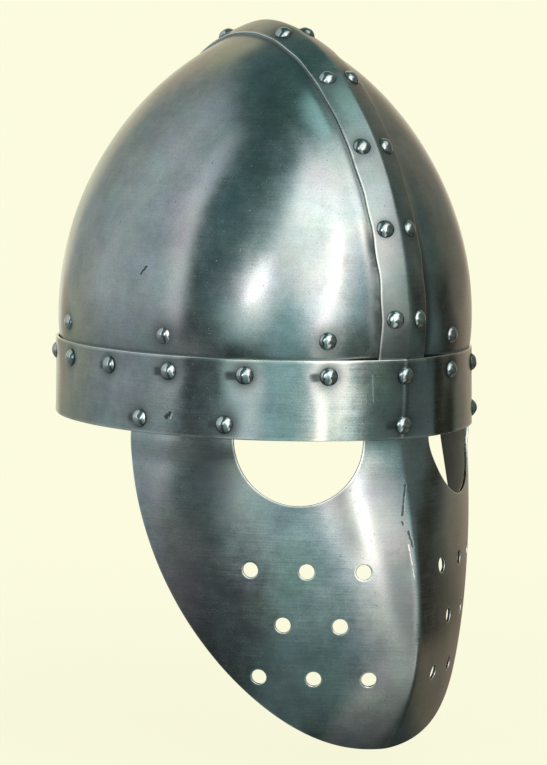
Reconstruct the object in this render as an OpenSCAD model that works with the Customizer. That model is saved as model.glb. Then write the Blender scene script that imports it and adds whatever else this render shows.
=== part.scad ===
/* [Plates] */
// Thickness of every iron plate
plate_t = 1.6; // [1.2:0.1:2]
// Gap left where one plate lies on another
seat_gap = 0.15; // [0.1:0.05:0.3]

/* [Brow band] */
// Length from front to back over the brow band
band_length = 236; // [220:1:250]
// Breadth over the brow band
band_breadth = 200; // [186:1:214]
// Height of the brow band
band_height = 38.7; // [37:0.1:42]
// How far the band's top edge leans in
band_lean = 0.8; // [0:0.1:1.2]
// Length of the lap where the band's two ends cross at the back
band_lap = 52; // [46:1:60]

/* [Skull] */
// Height of the skull above the brow band
skull_rise = 157; // [140:1:175]
// Fullness of the front low down
front_belly = 1.97; // [1.8:0.01:2.4]
// Roundness of the front near the top
front_peak = 1.89; // [1.5:0.01:2.1]
// Fullness of the back low down
back_belly = 1.79; // [1.6:0.01:2.3]
// Roundness of the back near the top
back_peak = 1.8; // [1.5:0.01:2.1]
// Fullness of the sides low down
side_belly = 2.38; // [2:0.01:2.7]
// Roundness of the sides near the top
side_peak = 1.43; // [1.3:0.01:1.8]
// How far front and back swell out over the band
swell_long = 3.5; // [2:0.1:4.5]
// How far the sides swell out over the band
swell_side = 1.3; // [0.5:0.1:2.5]
// Height of the raised edge where the two halves meet, at the front
ridge_low = 5.3; // [3:0.1:7]
// Height of the same edge at the very top
ridge_top = 3.2; // [2:0.1:4]
// Half the width of that raised edge
ridge_half = 16; // [15:0.1:20]

/* [Crest] */
// Width of the crest band
crest_width = 27; // [24:0.5:29]
// Sideways distance between the two rivets of a pair
crest_pair = 14.6; // [12:0.1:15]
// Distance along the crest from the brow band's top edge up to the lowest pair
crest_foot = 18.3; // [15:0.1:26]
// Distance over the top between the two highest pairs
crest_top_pitch = 50; // [44:0.5:51]

/* [Face plate] */
// Depth of the face plate below the brow band
face_depth = 154; // [144:1:170]
// Height of the face plate's edge hidden behind the brow band
face_tuck = 14; // [12:0.5:15]
// Angle from the front to the plate's back edge
face_wrap = 77.3; // [76.5:0.1:82]
// How far the keel stands forward of the skull at the plate's top
keel_top = 1.4; // [0.8:0.1:2]
// How far the keel swells forward below that
keel_swell = 17.7; // [8:0.1:22]
// How far the keel draws back again at the chin
keel_tuck = 26.5; // [12:0.1:32]
// Depth below the band at which the keel stands furthest out
keel_peak = 95; // [80:1:105]
// Radius of each eye opening
eye_r = 31.4; // [27:0.1:32]
// Direction in which the eye openings are cut, from the front
eye_turn = 35; // [34:0.5:37]
// Sideways place of the eye openings across that direction
eye_shift = 18.1; // [17.5:0.1:19]
// Diameter of a breath hole
breath_d = 7.4; // [5:0.1:9]
// Depth of the first row of breath holes
breath_first = 63; // [55:1:68]
// Distance from one row of breath holes to the next
breath_pitch = 26.4; // [20:0.1:28]

/* [Rivets] */
// Diameter of a rivet's head
head_d = 8.8; // [7:0.1:9.2]
// Height of a rivet's head
head_h = 2.7; // [2:0.1:3.2]
// Diameter of a rivet's shank
shank_d = 4; // [3:0.1:4.6]
// Diameter of the end hammered over inside
tail_d = 6.2; // [5.6:0.1:6.8]
// Height of the end hammered over inside
tail_h = 1.5; // [1:0.1:2]
// Room round a shank in its hole
shank_room = 0.1; // [0.05:0.01:0.2]
// Distance of the upper rivets below the band's top edge
upper_inset = 7.7; // [6.5:0.1:8.5]
// Distance of the lower rivets above the band's bottom edge
lower_inset = 6.9; // [6:0.1:8]
// Distance round the band from the front rivet to the next
first_pitch = 38.8; // [37:0.1:40]
// Distance round the band between the other rivets
band_pitch = 40.9; // [40.3:0.1:41.5]

/* [Liner] */
// Thickness of the liner's leather
leather_t = 2.4; // [1.8:0.1:3]
// Width of the leather band inside the skull
liner_width = 22; // [20:0.5:24]
// Height of the rivets that hold the leather band, over the brow band's top edge
liner_rise = 9.3; // [9:0.1:11]
// Thickness of the washers under the liner rivets
washer_t = 1; // [0.6:0.1:1.5]
// Diameter of the washers under the liner rivets
washer_d = 11; // [9:0.5:13]
// Height of the tongues' tips over the brow band's bottom edge
tongue_top = 152; // [140:1:160]
// Diameter of the lacing hole near each tongue's tip
lace_hole_d = 5; // [3:0.5:7]

/* [Hidden] */
$fn = 32;

iron = [0.48, 0.53, 0.52];
bright_iron = [0.62, 0.65, 0.64];
hide = [0.36, 0.24, 0.15];

// One plate and the gap under it
layer = plate_t + seat_gap;
// Half sizes over the band and over the top of the skull's hidden foot
band_a = band_length / 2;
band_b = band_breadth / 2;
skull_a = band_a - band_lean - layer;
skull_b = band_b - band_lean - layer;
// The skull stops just above the hidden edge of the face plate
foot_gap = 2;
skull_foot = face_tuck + foot_gap;
skull_top = band_height + skull_rise;
upper_row = band_height - upper_inset;
lower_row = lower_inset;
liner_row = band_height + liner_rise;
// The raised edge starts here, is full this much higher, and eases in by this power
ridge_start = 2;
ridge_run = 55;
ridge_ease = 1.5;
// The swelling over the band is fullest nearer the band than the top
swell_skew = 0.6;
// The band settles back on the skull this far beside the crest
band_ease = 26;
// Angle of the band's lap on each side of the back, and of the outer end's climb
lap_turn = band_lap / 2 / band_b * 180 / PI;
lap_climb = 6;
// Pairs of rivets on the band, and on each half of the crest
band_pairs = 8;
crest_pairs = 5;
// The face plate leaves the band's curve by these amounts
face_draw_front = 2.7;
face_draw_side = 0.8;
face_draw_run = 16;
face_spread = 20;
face_close = 30;
chin_close = 12.5;
face_unit = 150;
// Half the breadth of the keel's swelling, behind the band and below it
keel_narrow = 40;
keel_wide = 98;
// The lower outline of the face plate: fullness sideways and downwards
jaw_side = 2.28;
jaw_down = 1.4;
// Distances round the band of the rivets beside the eye openings
face_rivet_places = [89.5, 137.9];
// Breath holes: how many in each row, the first one's angle, and the step
breath_rows = [3, 2, 3];
breath_start = [13.6, 19.5, 11.9];
breath_step = 13.8;
// Distances round the skull of the liner rivets, and the space outside the leather
liner_first = 39.9;
liner_pitch = 84.6;
liner_gap = 0.3;
// Space between the tongues' curved inner face and the flat washers
washer_gap = 0.5;
// The leather band reaches this share of its width below its rivets
liner_drop = 0.45;
tongue_foot = 8;
tongue_turn = 19;
tongue_waist = 0.3;
lace_inset = 8;
// Share of the skull's size left at the tongues' tips
tongue_close = 0.2;
// Room under a rivet's hammered end, inside the raised edge and elsewhere
tail_gap = 0.05;
ridge_tail_gap = 0.4;
crest_tail_gap = 0.1;
// Length of the cutters that make the round holes
hole_reach = 24;
// Small steps along a surface, to find its slope
slope_turn = 0.7;
slope_rise = 0.4;
slope_run = 1.5;
tiny = 0.01;
// Widest angle from front or back that the raised edge's columns take up
edge_most = 30;
// Grid steps: up the skull, closer low down, round a quarter of it, and round the band
rise_steps = 16;
rise_crowd = 1.4;
quarter_steps = 17;
band_steps = 96;
jaw_steps = 18;
face_columns = 13;

function unit(v) = v / norm(v);
function soft(u) = u <= 0 ? 1 : u >= 1 ? 0 : (1 + cos(180 * u)) / 2;

// The skull without its raised edge: ovals stacked over the brow band
function climb(z) = min(1, max(0, (z - band_height) / skull_rise));
function flare(z) = band_lean * (1 - min(1, max(0, z / band_height)));
function reach(t, belly, peak) = pow(max(0, 1 - pow(t, belly)), 1 / peak);
function swell(t) = sin(180 * pow(t, swell_skew));
function half_length(z, front) = let (t = climb(z))
    (skull_a + flare(z) + swell_long * swell(t))
    * (front ? reach(t, front_belly, front_peak) : reach(t, back_belly, back_peak));
function half_breadth(z) = let (t = climb(z))
    (skull_b + flare(z) + swell_side * swell(t)) * reach(t, side_belly, side_peak);
function oval(phi, z) =
    [half_breadth(z) * sin(phi), -half_length(z, cos(phi) > 0) * cos(phi), z];
function skull_normal(phi, z) = z > skull_top - tiny ? [0, 0, 1] :
    let (dz = min(slope_rise, (skull_top - z) / 2))
    unit(cross(oval(phi + 1, z) - oval(phi - 1, z), oval(phi, z + dz) - oval(phi, z - dz)));

// Height of the raised edge at the centre, and its fall to each side like a roof
function ridge(z) = pow(min(1, max(0, z - ridge_start) / ridge_run), ridge_ease)
    * (ridge_low + (ridge_top - ridge_low) * climb(z));
function roof(x, z) = ridge(z) * max(0, 1 - abs(x) / ridge_half);
function skull_pt(phi, z, off) = let (p = oval(phi, z))
    p + skull_normal(phi, z) * (off + roof(p.x, z));

// The brow band: an upright oval that lifts over the crest at front and back
function band_lift(x, z) =
    layer * soft((abs(x) - crest_width / 2) / band_ease) + roof(x, z);
function band_normal(phi) = unit([sin(phi) / band_b, -cos(phi) / band_a, 0]);
function band_pt(phi, z, off) = let (
        lean = band_lean * z / band_height,
        x = (band_b - lean) * sin(phi),
        y = -(band_a - lean) * cos(phi))
    [x, y, z] + band_normal(phi) * (off + band_lift(x, z));
// Angle on the band's oval at a distance s measured round it from the front
band_mean = sqrt((band_a * band_a + band_b * band_b) / 2);
band_skew = (band_a * band_a - band_b * band_b) / (band_a * band_a + band_b * band_b) / 4;
function turn_at(s) = let (t = s / band_mean * 180 / PI)
    t + band_skew * 180 / PI * sin(2 * t);

// The face plate: the band's curve drawn in a little, with a keel down the middle
function face_ease(w) = 1 - soft(w / face_draw_run);
function face_a(w) = skull_a + flare(-w) - face_draw_front * face_ease(w)
    - chin_close * pow(max(0, w) / face_unit, 3);
function face_b(w) = let (u = max(0, w) / face_unit)
    skull_b + flare(-w) - face_draw_side * face_ease(w) + face_spread * u
    - face_close * u * u;
function keel(w) = let (top = skull_a + flare(-w) + keel_top)
    w < 0 ? top :
    w < keel_peak ? top + keel_swell * sin(90 * w / keel_peak) :
    top + keel_swell - keel_tuck * pow((w - keel_peak) / (face_depth - keel_peak), 2);
function keel_breadth(w) = keel_narrow + (keel_wide - keel_narrow) * face_ease(w);
function face_oval(phi, w) = let (
        x = face_b(w) * sin(phi),
        push = (keel(w) - face_a(w)) * pow(max(0, 1 - abs(x) / keel_breadth(w)), 2))
    [x, -face_a(w) * cos(phi) - push, -w];
function face_normal(phi, w) = let (
        side = phi < 0 ? -1 : 1,
        p1 = max(tiny, abs(phi) - slope_turn),
        p2 = abs(phi) + slope_turn)
    unit(cross(face_oval(side * p2, w) - face_oval(side * p1, w),
        face_oval(phi, w - slope_turn) - face_oval(phi, w + slope_turn)) * side);
function keel_normal(w) = let (n = face_normal(2 * tiny, w)) unit([0, n.y, n.z]);
function face_pt(phi, w, off) = face_oval(phi, w)
    + (abs(phi) < tiny ? keel_normal(w) : face_normal(phi, w)) * off;
// The plate's free edge: its angle from the front at each depth
function jaw(w) = w <= 0 ? face_wrap :
    face_wrap * pow(max(0, 1 - pow(w / face_depth, jaw_down)), 1 / jaw_side);

// The crest's middle line over the skull, front to back, as [y, z]
rise_z = [for (i = [0 : rise_steps - 1])
    band_height + skull_rise * pow(sin(90 * i / rise_steps), rise_crowd)];
low_z = [skull_foot, (skull_foot + band_height) / 2];
all_z = concat(low_z, rise_z);
crest_line = concat(
    [for (z = all_z) [-half_length(z, true), z]],
    [[0, skull_top]],
    [for (i = [len(all_z) - 1 : -1 : 0]) [half_length(all_z[i], false), all_z[i]]]);
crest_rows = len(crest_line);
crest_mid = (crest_rows - 1) / 2;
function line_normal(i) = i == crest_mid ? [0, 0, 1] :
    let (d = crest_line[min(crest_rows - 1, i + 1)] - crest_line[max(0, i - 1)])
    unit([0, -d.y, d.x]);
function outside(x, y, z) = pow(x / max(tiny, half_breadth(z)), 2)
    + pow(y / max(tiny, half_length(z, y < 0)), 2) > 1;
// How far under the middle line the skull lies, a distance x to the side
function sink(x, p, n, lo = 0, hi = crest_width / 2, left = 16) = let (mid = (lo + hi) / 2)
    left == 0 ? mid :
    outside(x, p.y - n.y * mid, p.z - n.z * mid) ?
        sink(x, p, n, mid, hi, left - 1) : sink(x, p, n, lo, mid, left - 1);
function crest_seat(x, p, n, off) =
    [x, p.y, p.z] + n * (off + roof(x, p.z) - (x == 0 ? 0 : sink(abs(x), p, n)));
// The line's point and normal at a distance from the top, s negative to the front
function along(s, i, left) = let (
        j = i + (s < 0 ? -1 : 1),
        share = left / norm(crest_line[j] - crest_line[i]))
    share > 1 ? along(s, j, left - norm(crest_line[j] - crest_line[i])) :
    [crest_line[i] * (1 - share) + crest_line[j] * share,
        line_normal(i) * (1 - share) + line_normal(j) * share];
function crest_pt(x, s, off) = let (f = along(s, crest_mid, abs(s)))
    crest_seat(x, [0, f[0].x, f[0].y], unit(f[1]), off);

// Lengths of the crest's line from the brow band up to the top, and the rivets' spacing
function run_length(i, j) = i >= j ? 0 :
    norm(crest_line[i + 1] - crest_line[i]) + run_length(i + 1, j);
front_run = run_length(len(low_z), crest_mid);
back_run = run_length(crest_mid, crest_rows - 1 - len(low_z));
function crest_pitch(run) = (run - crest_foot - crest_top_pitch / 2) / (crest_pairs - 1);

// Places of the rivets: a point on the outermost plate and the way out of it
function band_place(phi, z, off = 0) = [band_pt(phi, z, off),
    unit(cross(band_pt(phi + 1, z, off) - band_pt(phi - 1, z, off), [0, 0, 1]))];
function brow_turn(i) = turn_at(first_pitch + (i - 1) * band_pitch);
function brow_place(side, i) =
    band_place(side * brow_turn(i), upper_row, i == band_pairs ? layer : 0);
function face_turn(i) = turn_at(face_rivet_places[i]);
function face_place(side, i) = band_place(side * face_turn(i), lower_row);
function crest_place(side, i) = let (
        s = i < crest_pairs ? -crest_top_pitch / 2 - crest_pitch(front_run) * i :
            crest_top_pitch / 2 + crest_pitch(back_run) * (i - crest_pairs),
        x = side * crest_pair / 2)
    [crest_pt(x, s, layer), unit(cross(
        crest_pt(x + 1, s, layer) - crest_pt(x - 1, s, layer),
        crest_pt(x, s + slope_run, layer) - crest_pt(x, s - slope_run, layer)))];
function liner_turn(i) = (i % 2 == 0 ? 1 : -1) * turn_at(liner_first + liner_pitch * floor(i / 2));
function liner_place(i) = let (phi = liner_turn(i))
    [skull_pt(phi, liner_row, 0), skull_normal(phi, liner_row)];

front_place = band_place(0, upper_row);
nose_place = band_place(0, lower_row);
lap_place = band_place(180, lower_row, layer);
brow_right = [for (i = [1 : band_pairs]) brow_place(-1, i)];
brow_left = [for (i = [1 : band_pairs]) brow_place(1, i)];
face_right = [for (i = [0, 1]) face_place(-1, i)];
face_left = [for (i = [0, 1]) face_place(1, i)];
crest_right = [for (i = [0 : 2 * crest_pairs - 1]) crest_place(-1, i)];
crest_left = [for (i = [0 : 2 * crest_pairs - 1]) crest_place(1, i)];
liner_places = [for (i = [0 : 7]) liner_place(i)];

// Thickness of what each rivet holds together, outer face to inner face
function through(place, q) = place[1] * (place[0] - q);
front_grip = through(front_place, skull_pt(0, upper_row, -plate_t)) + ridge_tail_gap;
crest_grip = layer + plate_t + crest_tail_gap;
lap_grip = layer + plate_t + tail_gap;
function brow_grip(place, phi) = through(place, skull_pt(phi, upper_row, -plate_t)) + tail_gap;
function face_grip(place, phi) = through(place, face_pt(phi, -lower_row, -plate_t)) + tail_gap;
// Depths under the skull's outer face: leather band, tongue, washer, rivet's tail
leather_1 = plate_t + liner_gap;
leather_2 = leather_1 + leather_t + seat_gap;
washer_at = leather_2 + leather_t + washer_gap;

// A sheet between two grids of points, its last row one point if tip is true
module sheet(outer, inner, tip = false) {
    rows = len(outer) - (tip ? 1 : 0);
    cols = len(outer[0]);
    count = rows * cols + (tip ? 1 : 0);
    function id(r, c, s) = s * count + (r < rows ? r * cols + c : rows * cols);
    points = concat(
        [for (r = [0 : rows - 1]) each outer[r]], tip ? [outer[rows][0]] : [],
        [for (r = [0 : rows - 1]) each inner[r]], tip ? [inner[rows][0]] : []);
    faces = [
        for (r = [0 : rows - 2], c = [0 : cols - 2]) each [
            [id(r, c, 0), id(r + 1, c, 0), id(r + 1, c + 1, 0)],
            [id(r, c, 0), id(r + 1, c + 1, 0), id(r, c + 1, 0)],
            [id(r, c, 1), id(r + 1, c + 1, 1), id(r + 1, c, 1)],
            [id(r, c, 1), id(r, c + 1, 1), id(r + 1, c + 1, 1)]],
        for (r = [0 : rows - (tip ? 1 : 2)]) each [
            [id(r, 0, 0), id(r, 0, 1), id(r + 1, 0, 1)],
            [id(r, 0, 0), id(r + 1, 0, 1), id(r + 1, 0, 0)],
            [id(r, cols - 1, 0), id(r + 1, cols - 1, 1), id(r, cols - 1, 1)],
            [id(r, cols - 1, 0), id(r + 1, cols - 1, 0), id(r + 1, cols - 1, 1)]],
        for (c = [0 : cols - 2]) each [
            [id(0, c, 0), id(0, c + 1, 1), id(0, c, 1)],
            [id(0, c, 0), id(0, c + 1, 0), id(0, c + 1, 1)]],
        for (c = [0 : cols - 2]) each tip ? [
            [id(rows - 1, c, 0), id(rows, 0, 0), id(rows - 1, c + 1, 0)],
            [id(rows - 1, c, 1), id(rows - 1, c + 1, 1), id(rows, 0, 1)]] : [
            [id(rows - 1, c, 0), id(rows - 1, c, 1), id(rows - 1, c + 1, 1)],
            [id(rows - 1, c, 0), id(rows - 1, c + 1, 1), id(rows - 1, c + 1, 0)]]
    ];
    polyhedron(points, faces, convexity = 8);
}

// Stands its child on a point of a surface, its own Z along the way out
module stand(place) {
    n = place[1];
    translate(place[0]) rotate([0, acos(n.z), atan2(n.y, n.x)]) children();
}

// The holes for rivet shanks, right through whatever lies under each place
module shank_holes(places) {
    for (p = places) stand(p)
        cylinder(d = shank_d + 2 * shank_room, h = hole_reach, center = true);
}

// A low dome with a flat underside
module cap(d, h) {
    r = (d * d / 4 + h * h) / (2 * h);
    intersection() {
        translate([0, 0, h - r]) sphere(r);
        cylinder(d = 2 * r, h = h + r);
    }
}

// A rivet: domed head outside, shank through the plates, end hammered over inside
module rivet(place, grip) {
    color(bright_iron) stand(place) {
        cap(head_d, head_h);
        translate([0, 0, -grip - tail_h / 3])
            cylinder(d = shank_d, h = grip + (head_h + tail_h) / 3);
        translate([0, 0, -grip]) mirror([0, 0, 1]) cap(tail_d, tail_h);
    }
}

// Columns round half the skull: closer together on the raised edge
function skull_turn(j, z) = let (
        edge = min(edge_most, asin(min(1, ridge_half / max(tiny, half_breadth(z))))))
    j == 0 ? 0 :
    j == 1 ? asin(sin(edge) / 2) :
    j <= quarter_steps ? edge + (90 - edge) * (j - 2) / (quarter_steps - 2) :
    180 - skull_turn(2 * quarter_steps - j, z);

module skull_half(side, places) {
    levels = concat(low_z, rise_z, [skull_top]);
    function face(off) = [for (z = levels) [for (j = [0 : 2 * quarter_steps])
        skull_pt(skull_turn(j, z), z, off)]];
    color(iron) difference() {
        mirror([side < 0 ? 1 : 0, 0, 0]) translate([seat_gap, 0, 0])
            sheet(face(0), face(-plate_t), true);
        shank_holes(places);
    }
}

module skull_half_right() {
    skull_half(-1, concat([front_place], brow_right, crest_right,
        [for (i = [1 : 2 : 7]) liner_places[i]]));
}

module skull_half_left() {
    skull_half(1, concat([front_place], brow_left, crest_left,
        [for (i = [0 : 2 : 6]) liner_places[i]]));
}

module crest_band() {
    columns = [-crest_width, -crest_pair, 0, crest_pair, crest_width] / 2;
    function face(off) = [for (i = [0 : crest_rows - 1]) [for (x = columns)
        crest_seat(x, [0, crest_line[i].x, crest_line[i].y], line_normal(i), off)]];
    color(iron) difference() {
        sheet(face(layer), face(seat_gap));
        shank_holes(concat([front_place], crest_right, crest_left));
    }
}

module brow_band() {
    lap_steps = 4;
    over = 180 - lap_turn - lap_climb;
    function lap(phi) = layer * (1 - soft((phi - over) / lap_climb));
    turns = concat(
        [for (i = [0 : lap_steps - 1]) -180 - lap_turn * (1 - i / lap_steps)],
        [for (i = [0 : band_steps]) 360 * i / band_steps - 180],
        [for (i = [1 : lap_steps]) 180 + lap_turn * i / lap_steps]);
    levels = [0, lower_row, (lower_row + upper_row) / 2, upper_row, band_height];
    function face(off) = [for (z = levels) [for (phi = turns)
        band_pt(phi, z, lap(phi) + off)]];
    color(iron) difference() {
        sheet(face(0), face(-plate_t));
        shank_holes(concat([front_place, nose_place, lap_place],
            brow_right, brow_left, face_right, face_left));
    }
}

module eye_cut(side) {
    deep = band_a;
    rotate([0, 0, side * eye_turn]) translate([-side * eye_shift, -deep / 3, 0]) {
        rotate([90, 0, 0]) cylinder(r = eye_r, h = deep, $fn = 96);
        translate([-eye_r, -deep, 0]) cube([2 * eye_r, deep, 2 * face_tuck]);
    }
}

module face_plate() {
    depths = concat([-face_tuck, -face_tuck / 2, 0],
        [for (i = [1 : jaw_steps]) face_depth * pow(sin(90 * i / jaw_steps), 2 / jaw_down)]);
    function face(off) = [for (w = depths) [for (c = [face_columns : -1 : -face_columns])
        face_pt(jaw(w) * c / face_columns, w, off)]];
    color(iron) difference() {
        sheet(face(0), face(-plate_t), true);
        shank_holes(concat([nose_place], face_right, face_left));
        for (side = [-1, 1]) eye_cut(side);
        for (side = [-1, 1], r = [0 : 2], k = [0 : breath_rows[r] - 1]) {
            phi = side * (breath_start[r] + breath_step * k);
            w = breath_first + breath_pitch * r;
            stand([face_pt(phi, w, 0), face_normal(phi, w)])
                cylinder(d = breath_d, h = hole_reach, center = true);
        }
    }
}

module brow_rivet_front() {
    rivet(front_place, front_grip);
}

module brow_rivets_right() {
    for (i = [1 : band_pairs]) rivet(brow_right[i - 1], brow_grip(brow_right[i - 1], -brow_turn(i)));
}

module brow_rivets_left() {
    for (i = [1 : band_pairs]) rivet(brow_left[i - 1], brow_grip(brow_left[i - 1], brow_turn(i)));
}

module band_lap_rivet() {
    rivet(lap_place, lap_grip);
}

module face_rivet_front() {
    rivet(nose_place, face_grip(nose_place, 0));
}

module face_rivets_right() {
    for (i = [0, 1]) rivet(face_right[i], face_grip(face_right[i], -face_turn(i)));
}

module face_rivets_left() {
    for (i = [0, 1]) rivet(face_left[i], face_grip(face_left[i], face_turn(i)));
}

module crest_rivets_right() {
    for (p = crest_right) rivet(p, crest_grip);
}

module crest_rivets_left() {
    for (p = crest_left) rivet(p, crest_grip);
}

module liner_rivets() {
    for (p = liner_places) rivet(p, washer_at + washer_t + tail_gap);
}

module liner_washers() {
    for (p = liner_places) color(bright_iron) stand(p)
        translate([0, 0, -washer_at - washer_t]) difference() {
            cylinder(d = washer_d, h = washer_t);
            cylinder(d = shank_d + 2 * shank_room, h = 3 * washer_t, center = true);
        }
}

// A point of the leather lining: up the skull's wall first, then arching inwards
bend_z = liner_row + liner_width * (1 - liner_drop);
arch_height = (tongue_top - bend_z) / sqrt(1 - tongue_close * tongue_close);
wall_z = [liner_row - liner_width * liner_drop, liner_row - tongue_foot,
    liner_row - tongue_foot / 2, liner_row, (liner_row + bend_z) / 2, bend_z];
function lining(phi, z, off) = z <= bend_z ?
    oval(phi, z) - skull_normal(phi, z) * off :
    let (u = (z - bend_z) / arch_height,
        f = sqrt(max(0, 1 - u * u)),
        p = oval(phi, bend_z) - skull_normal(phi, bend_z) * leather_2,
        n = unit([p.x * f, p.y * f, norm([p.x, p.y]) * u]))
    [p.x * f, p.y * f, z] - n * (off - leather_2);

module liner_band() {
    steps = 72;
    liner_end = 0.4;
    function face(off) = [for (z = wall_z) [for (i = [0 : steps])
        lining((180 - liner_end) * (2 * i / steps - 1), z, off)]];
    color(hide) difference() {
        sheet(face(leather_1), face(leather_1 + leather_t));
        shank_holes(liner_places);
    }
}

module liner_tongue(i) {
    columns = 3;
    arch_steps = 9;
    mid = liner_turn(i);
    levels = concat([for (k = [1 : len(wall_z) - 1]) wall_z[k]],
        [for (k = [1 : arch_steps]) bend_z + (tongue_top - bend_z) * sin(90 * k / arch_steps)]);
    function spread(z) = tongue_turn
        * (1 - tongue_waist * max(0, sin(180 * (z - bend_z) / (tongue_top - bend_z))));
    function face(off) = [for (z = levels) [for (c = [-columns : columns])
        lining(mid + spread(z) * c / columns, z, off)]];
    lace_share = tongue_close + lace_inset / skull_a;
    lace_z = bend_z + arch_height * sqrt(1 - lace_share * lace_share);
    color(hide) difference() {
        sheet(face(leather_2), face(leather_2 + leather_t));
        shank_holes([liner_places[i]]);
        translate(lining(mid, lace_z, leather_2))
            cylinder(d = lace_hole_d, h = hole_reach, center = true);
    }
}

module liner_tongue_1() { liner_tongue(0); }
module liner_tongue_2() { liner_tongue(1); }
module liner_tongue_3() { liner_tongue(2); }
module liner_tongue_4() { liner_tongue(3); }
module liner_tongue_5() { liner_tongue(4); }
module liner_tongue_6() { liner_tongue(5); }
module liner_tongue_7() { liner_tongue(6); }
module liner_tongue_8() { liner_tongue(7); }

skull_half_right();
skull_half_left();
crest_band();
brow_band();
face_plate();
brow_rivet_front();
brow_rivets_right();
brow_rivets_left();
band_lap_rivet();
face_rivet_front();
face_rivets_right();
face_rivets_left();
crest_rivets_right();
crest_rivets_left();
liner_rivets();
liner_washers();
liner_band();
liner_tongue_1();
liner_tongue_2();
liner_tongue_3();
liner_tongue_4();
liner_tongue_5();
liner_tongue_6();
liner_tongue_7();
liner_tongue_8();
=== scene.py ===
import bpy
import numpy as np
from mathutils import Matrix, Vector
from mathutils.geometry import delaunay_2d_cdt


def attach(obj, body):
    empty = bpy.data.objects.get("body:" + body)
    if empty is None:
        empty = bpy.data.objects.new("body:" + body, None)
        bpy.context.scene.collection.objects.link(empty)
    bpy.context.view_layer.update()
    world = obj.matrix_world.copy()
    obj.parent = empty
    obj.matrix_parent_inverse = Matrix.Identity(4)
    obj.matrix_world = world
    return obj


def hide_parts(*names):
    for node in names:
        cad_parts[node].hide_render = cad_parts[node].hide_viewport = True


# An iron helmet: two riveted skull halves under a crest band, a brow band, a keeled face
# plate and a leather liner. Shapes are in millimetres until they become meshes in metres.
# The wearer looks along -Y, +X is the wearer's left, and the brow band's bottom edge is Z 0.
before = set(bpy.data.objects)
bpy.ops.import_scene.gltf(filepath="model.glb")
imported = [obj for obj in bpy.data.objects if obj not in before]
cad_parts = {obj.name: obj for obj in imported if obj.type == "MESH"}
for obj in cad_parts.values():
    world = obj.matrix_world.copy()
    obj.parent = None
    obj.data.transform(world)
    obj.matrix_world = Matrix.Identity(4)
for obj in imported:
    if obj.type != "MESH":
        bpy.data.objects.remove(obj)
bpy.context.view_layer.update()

# The studio: a long lens in front and to the wearer's right, a pale floor, and a grey-green room
# with a tall soft window in front of the helmet, a wide one at its side, and a pale wall behind.
CAMERA_TURN, CAMERA_RISE, CAMERA_ROLL = np.radians([-35.05, 6.04, 0.70])
CAMERA_FAR, CAMERA_ASIDE, CAMERA_DOWN = 1.731, 0.0048, 0.0833
FOCAL_LENGTH, SENSOR_WIDTH = 160.4, 36
AIM = Vector((0, 0, 0.1))
LAMP_TURN, LAMP_RISE, LAMP_LEAN = np.radians([-57, 10, 38])
LAMP_FAR, LAMP_WIDTH, LAMP_HEIGHT, LAMP_POWER = 1.4, 0.19, 0.50, 1.15
LAMP_COLOUR = (1.0, 0.91, 0.88)
PALE = (0.973, 0.965, 0.738)
FLOOR_HEIGHT, FLOOR_HALF = -0.172, 9
DEGREES = 180 / np.pi


def way_out(turn, rise):
    """The way out from the helmet at a turn round it from its front and a rise above level."""
    return Vector((np.sin(turn) * np.cos(rise), -np.cos(turn) * np.cos(rise), np.sin(rise)))


def placed(name, data):
    """A new camera, lamp or mesh in the scene."""
    thing = bpy.data.objects.new(name, data)
    bpy.context.scene.collection.objects.link(thing)
    return thing


def add_camera():
    """The camera's axes are turned, raised and rolled, and it backs away along its own axis."""
    back = way_out(CAMERA_TURN, CAMERA_RISE)
    right = Vector((np.cos(CAMERA_TURN), np.sin(CAMERA_TURN), 0))
    up = back.cross(right)
    c, s = np.cos(CAMERA_ROLL), np.sin(CAMERA_ROLL)
    right, up = right * c + up * s, up * c - right * s
    place = AIM + right * CAMERA_ASIDE - up * CAMERA_DOWN + back * CAMERA_FAR
    camera = placed("camera", bpy.data.cameras.new("camera"))
    axes = Matrix((right, up, back)).transposed().to_4x4()
    camera.matrix_world = Matrix.Translation(place) @ axes
    camera.data.lens, camera.data.sensor_width = FOCAL_LENGTH, SENSOR_WIDTH
    camera.data.clip_end = 50
    bpy.context.scene.camera = camera


def add_lamp():
    """A small soft lamp that faces the helmet, its long side leaning to the wearer's left."""
    lamp = placed("front lamp", bpy.data.lights.new("front lamp", "AREA"))
    place = AIM + way_out(LAMP_TURN, LAMP_RISE) * LAMP_FAR
    facing = (place - AIM).to_track_quat("Z", "Y").to_matrix().to_4x4()
    lamp.matrix_world = Matrix.Translation(place) @ facing @ Matrix.Rotation(-LAMP_LEAN, 4, "Z")
    lamp.data.shape = "ELLIPSE"
    lamp.data.size, lamp.data.size_y = LAMP_WIDTH, LAMP_HEIGHT
    lamp.data.energy, lamp.data.color = LAMP_POWER, LAMP_COLOUR
    lamp.visible_camera = False


class Flow:
    """A value or colour on its way through a tree of nodes. Arithmetic on it adds a node."""

    def __init__(self, tree, socket):
        self.tree, self.socket = tree, socket

    def __add__(self, other):
        return step("ADD", self, other)

    def __sub__(self, other):
        return step("SUBTRACT", self, other)

    def __rsub__(self, other):
        return step("SUBTRACT", other, self)

    def __mul__(self, other):
        return step("MULTIPLY", self, other)

    def __truediv__(self, other):
        return step("DIVIDE", self, other)


def cleared(owner):
    """The emptied node tree of a material or world."""
    owner.use_nodes = True
    owner.node_tree.nodes.clear()
    return owner.node_tree


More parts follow.
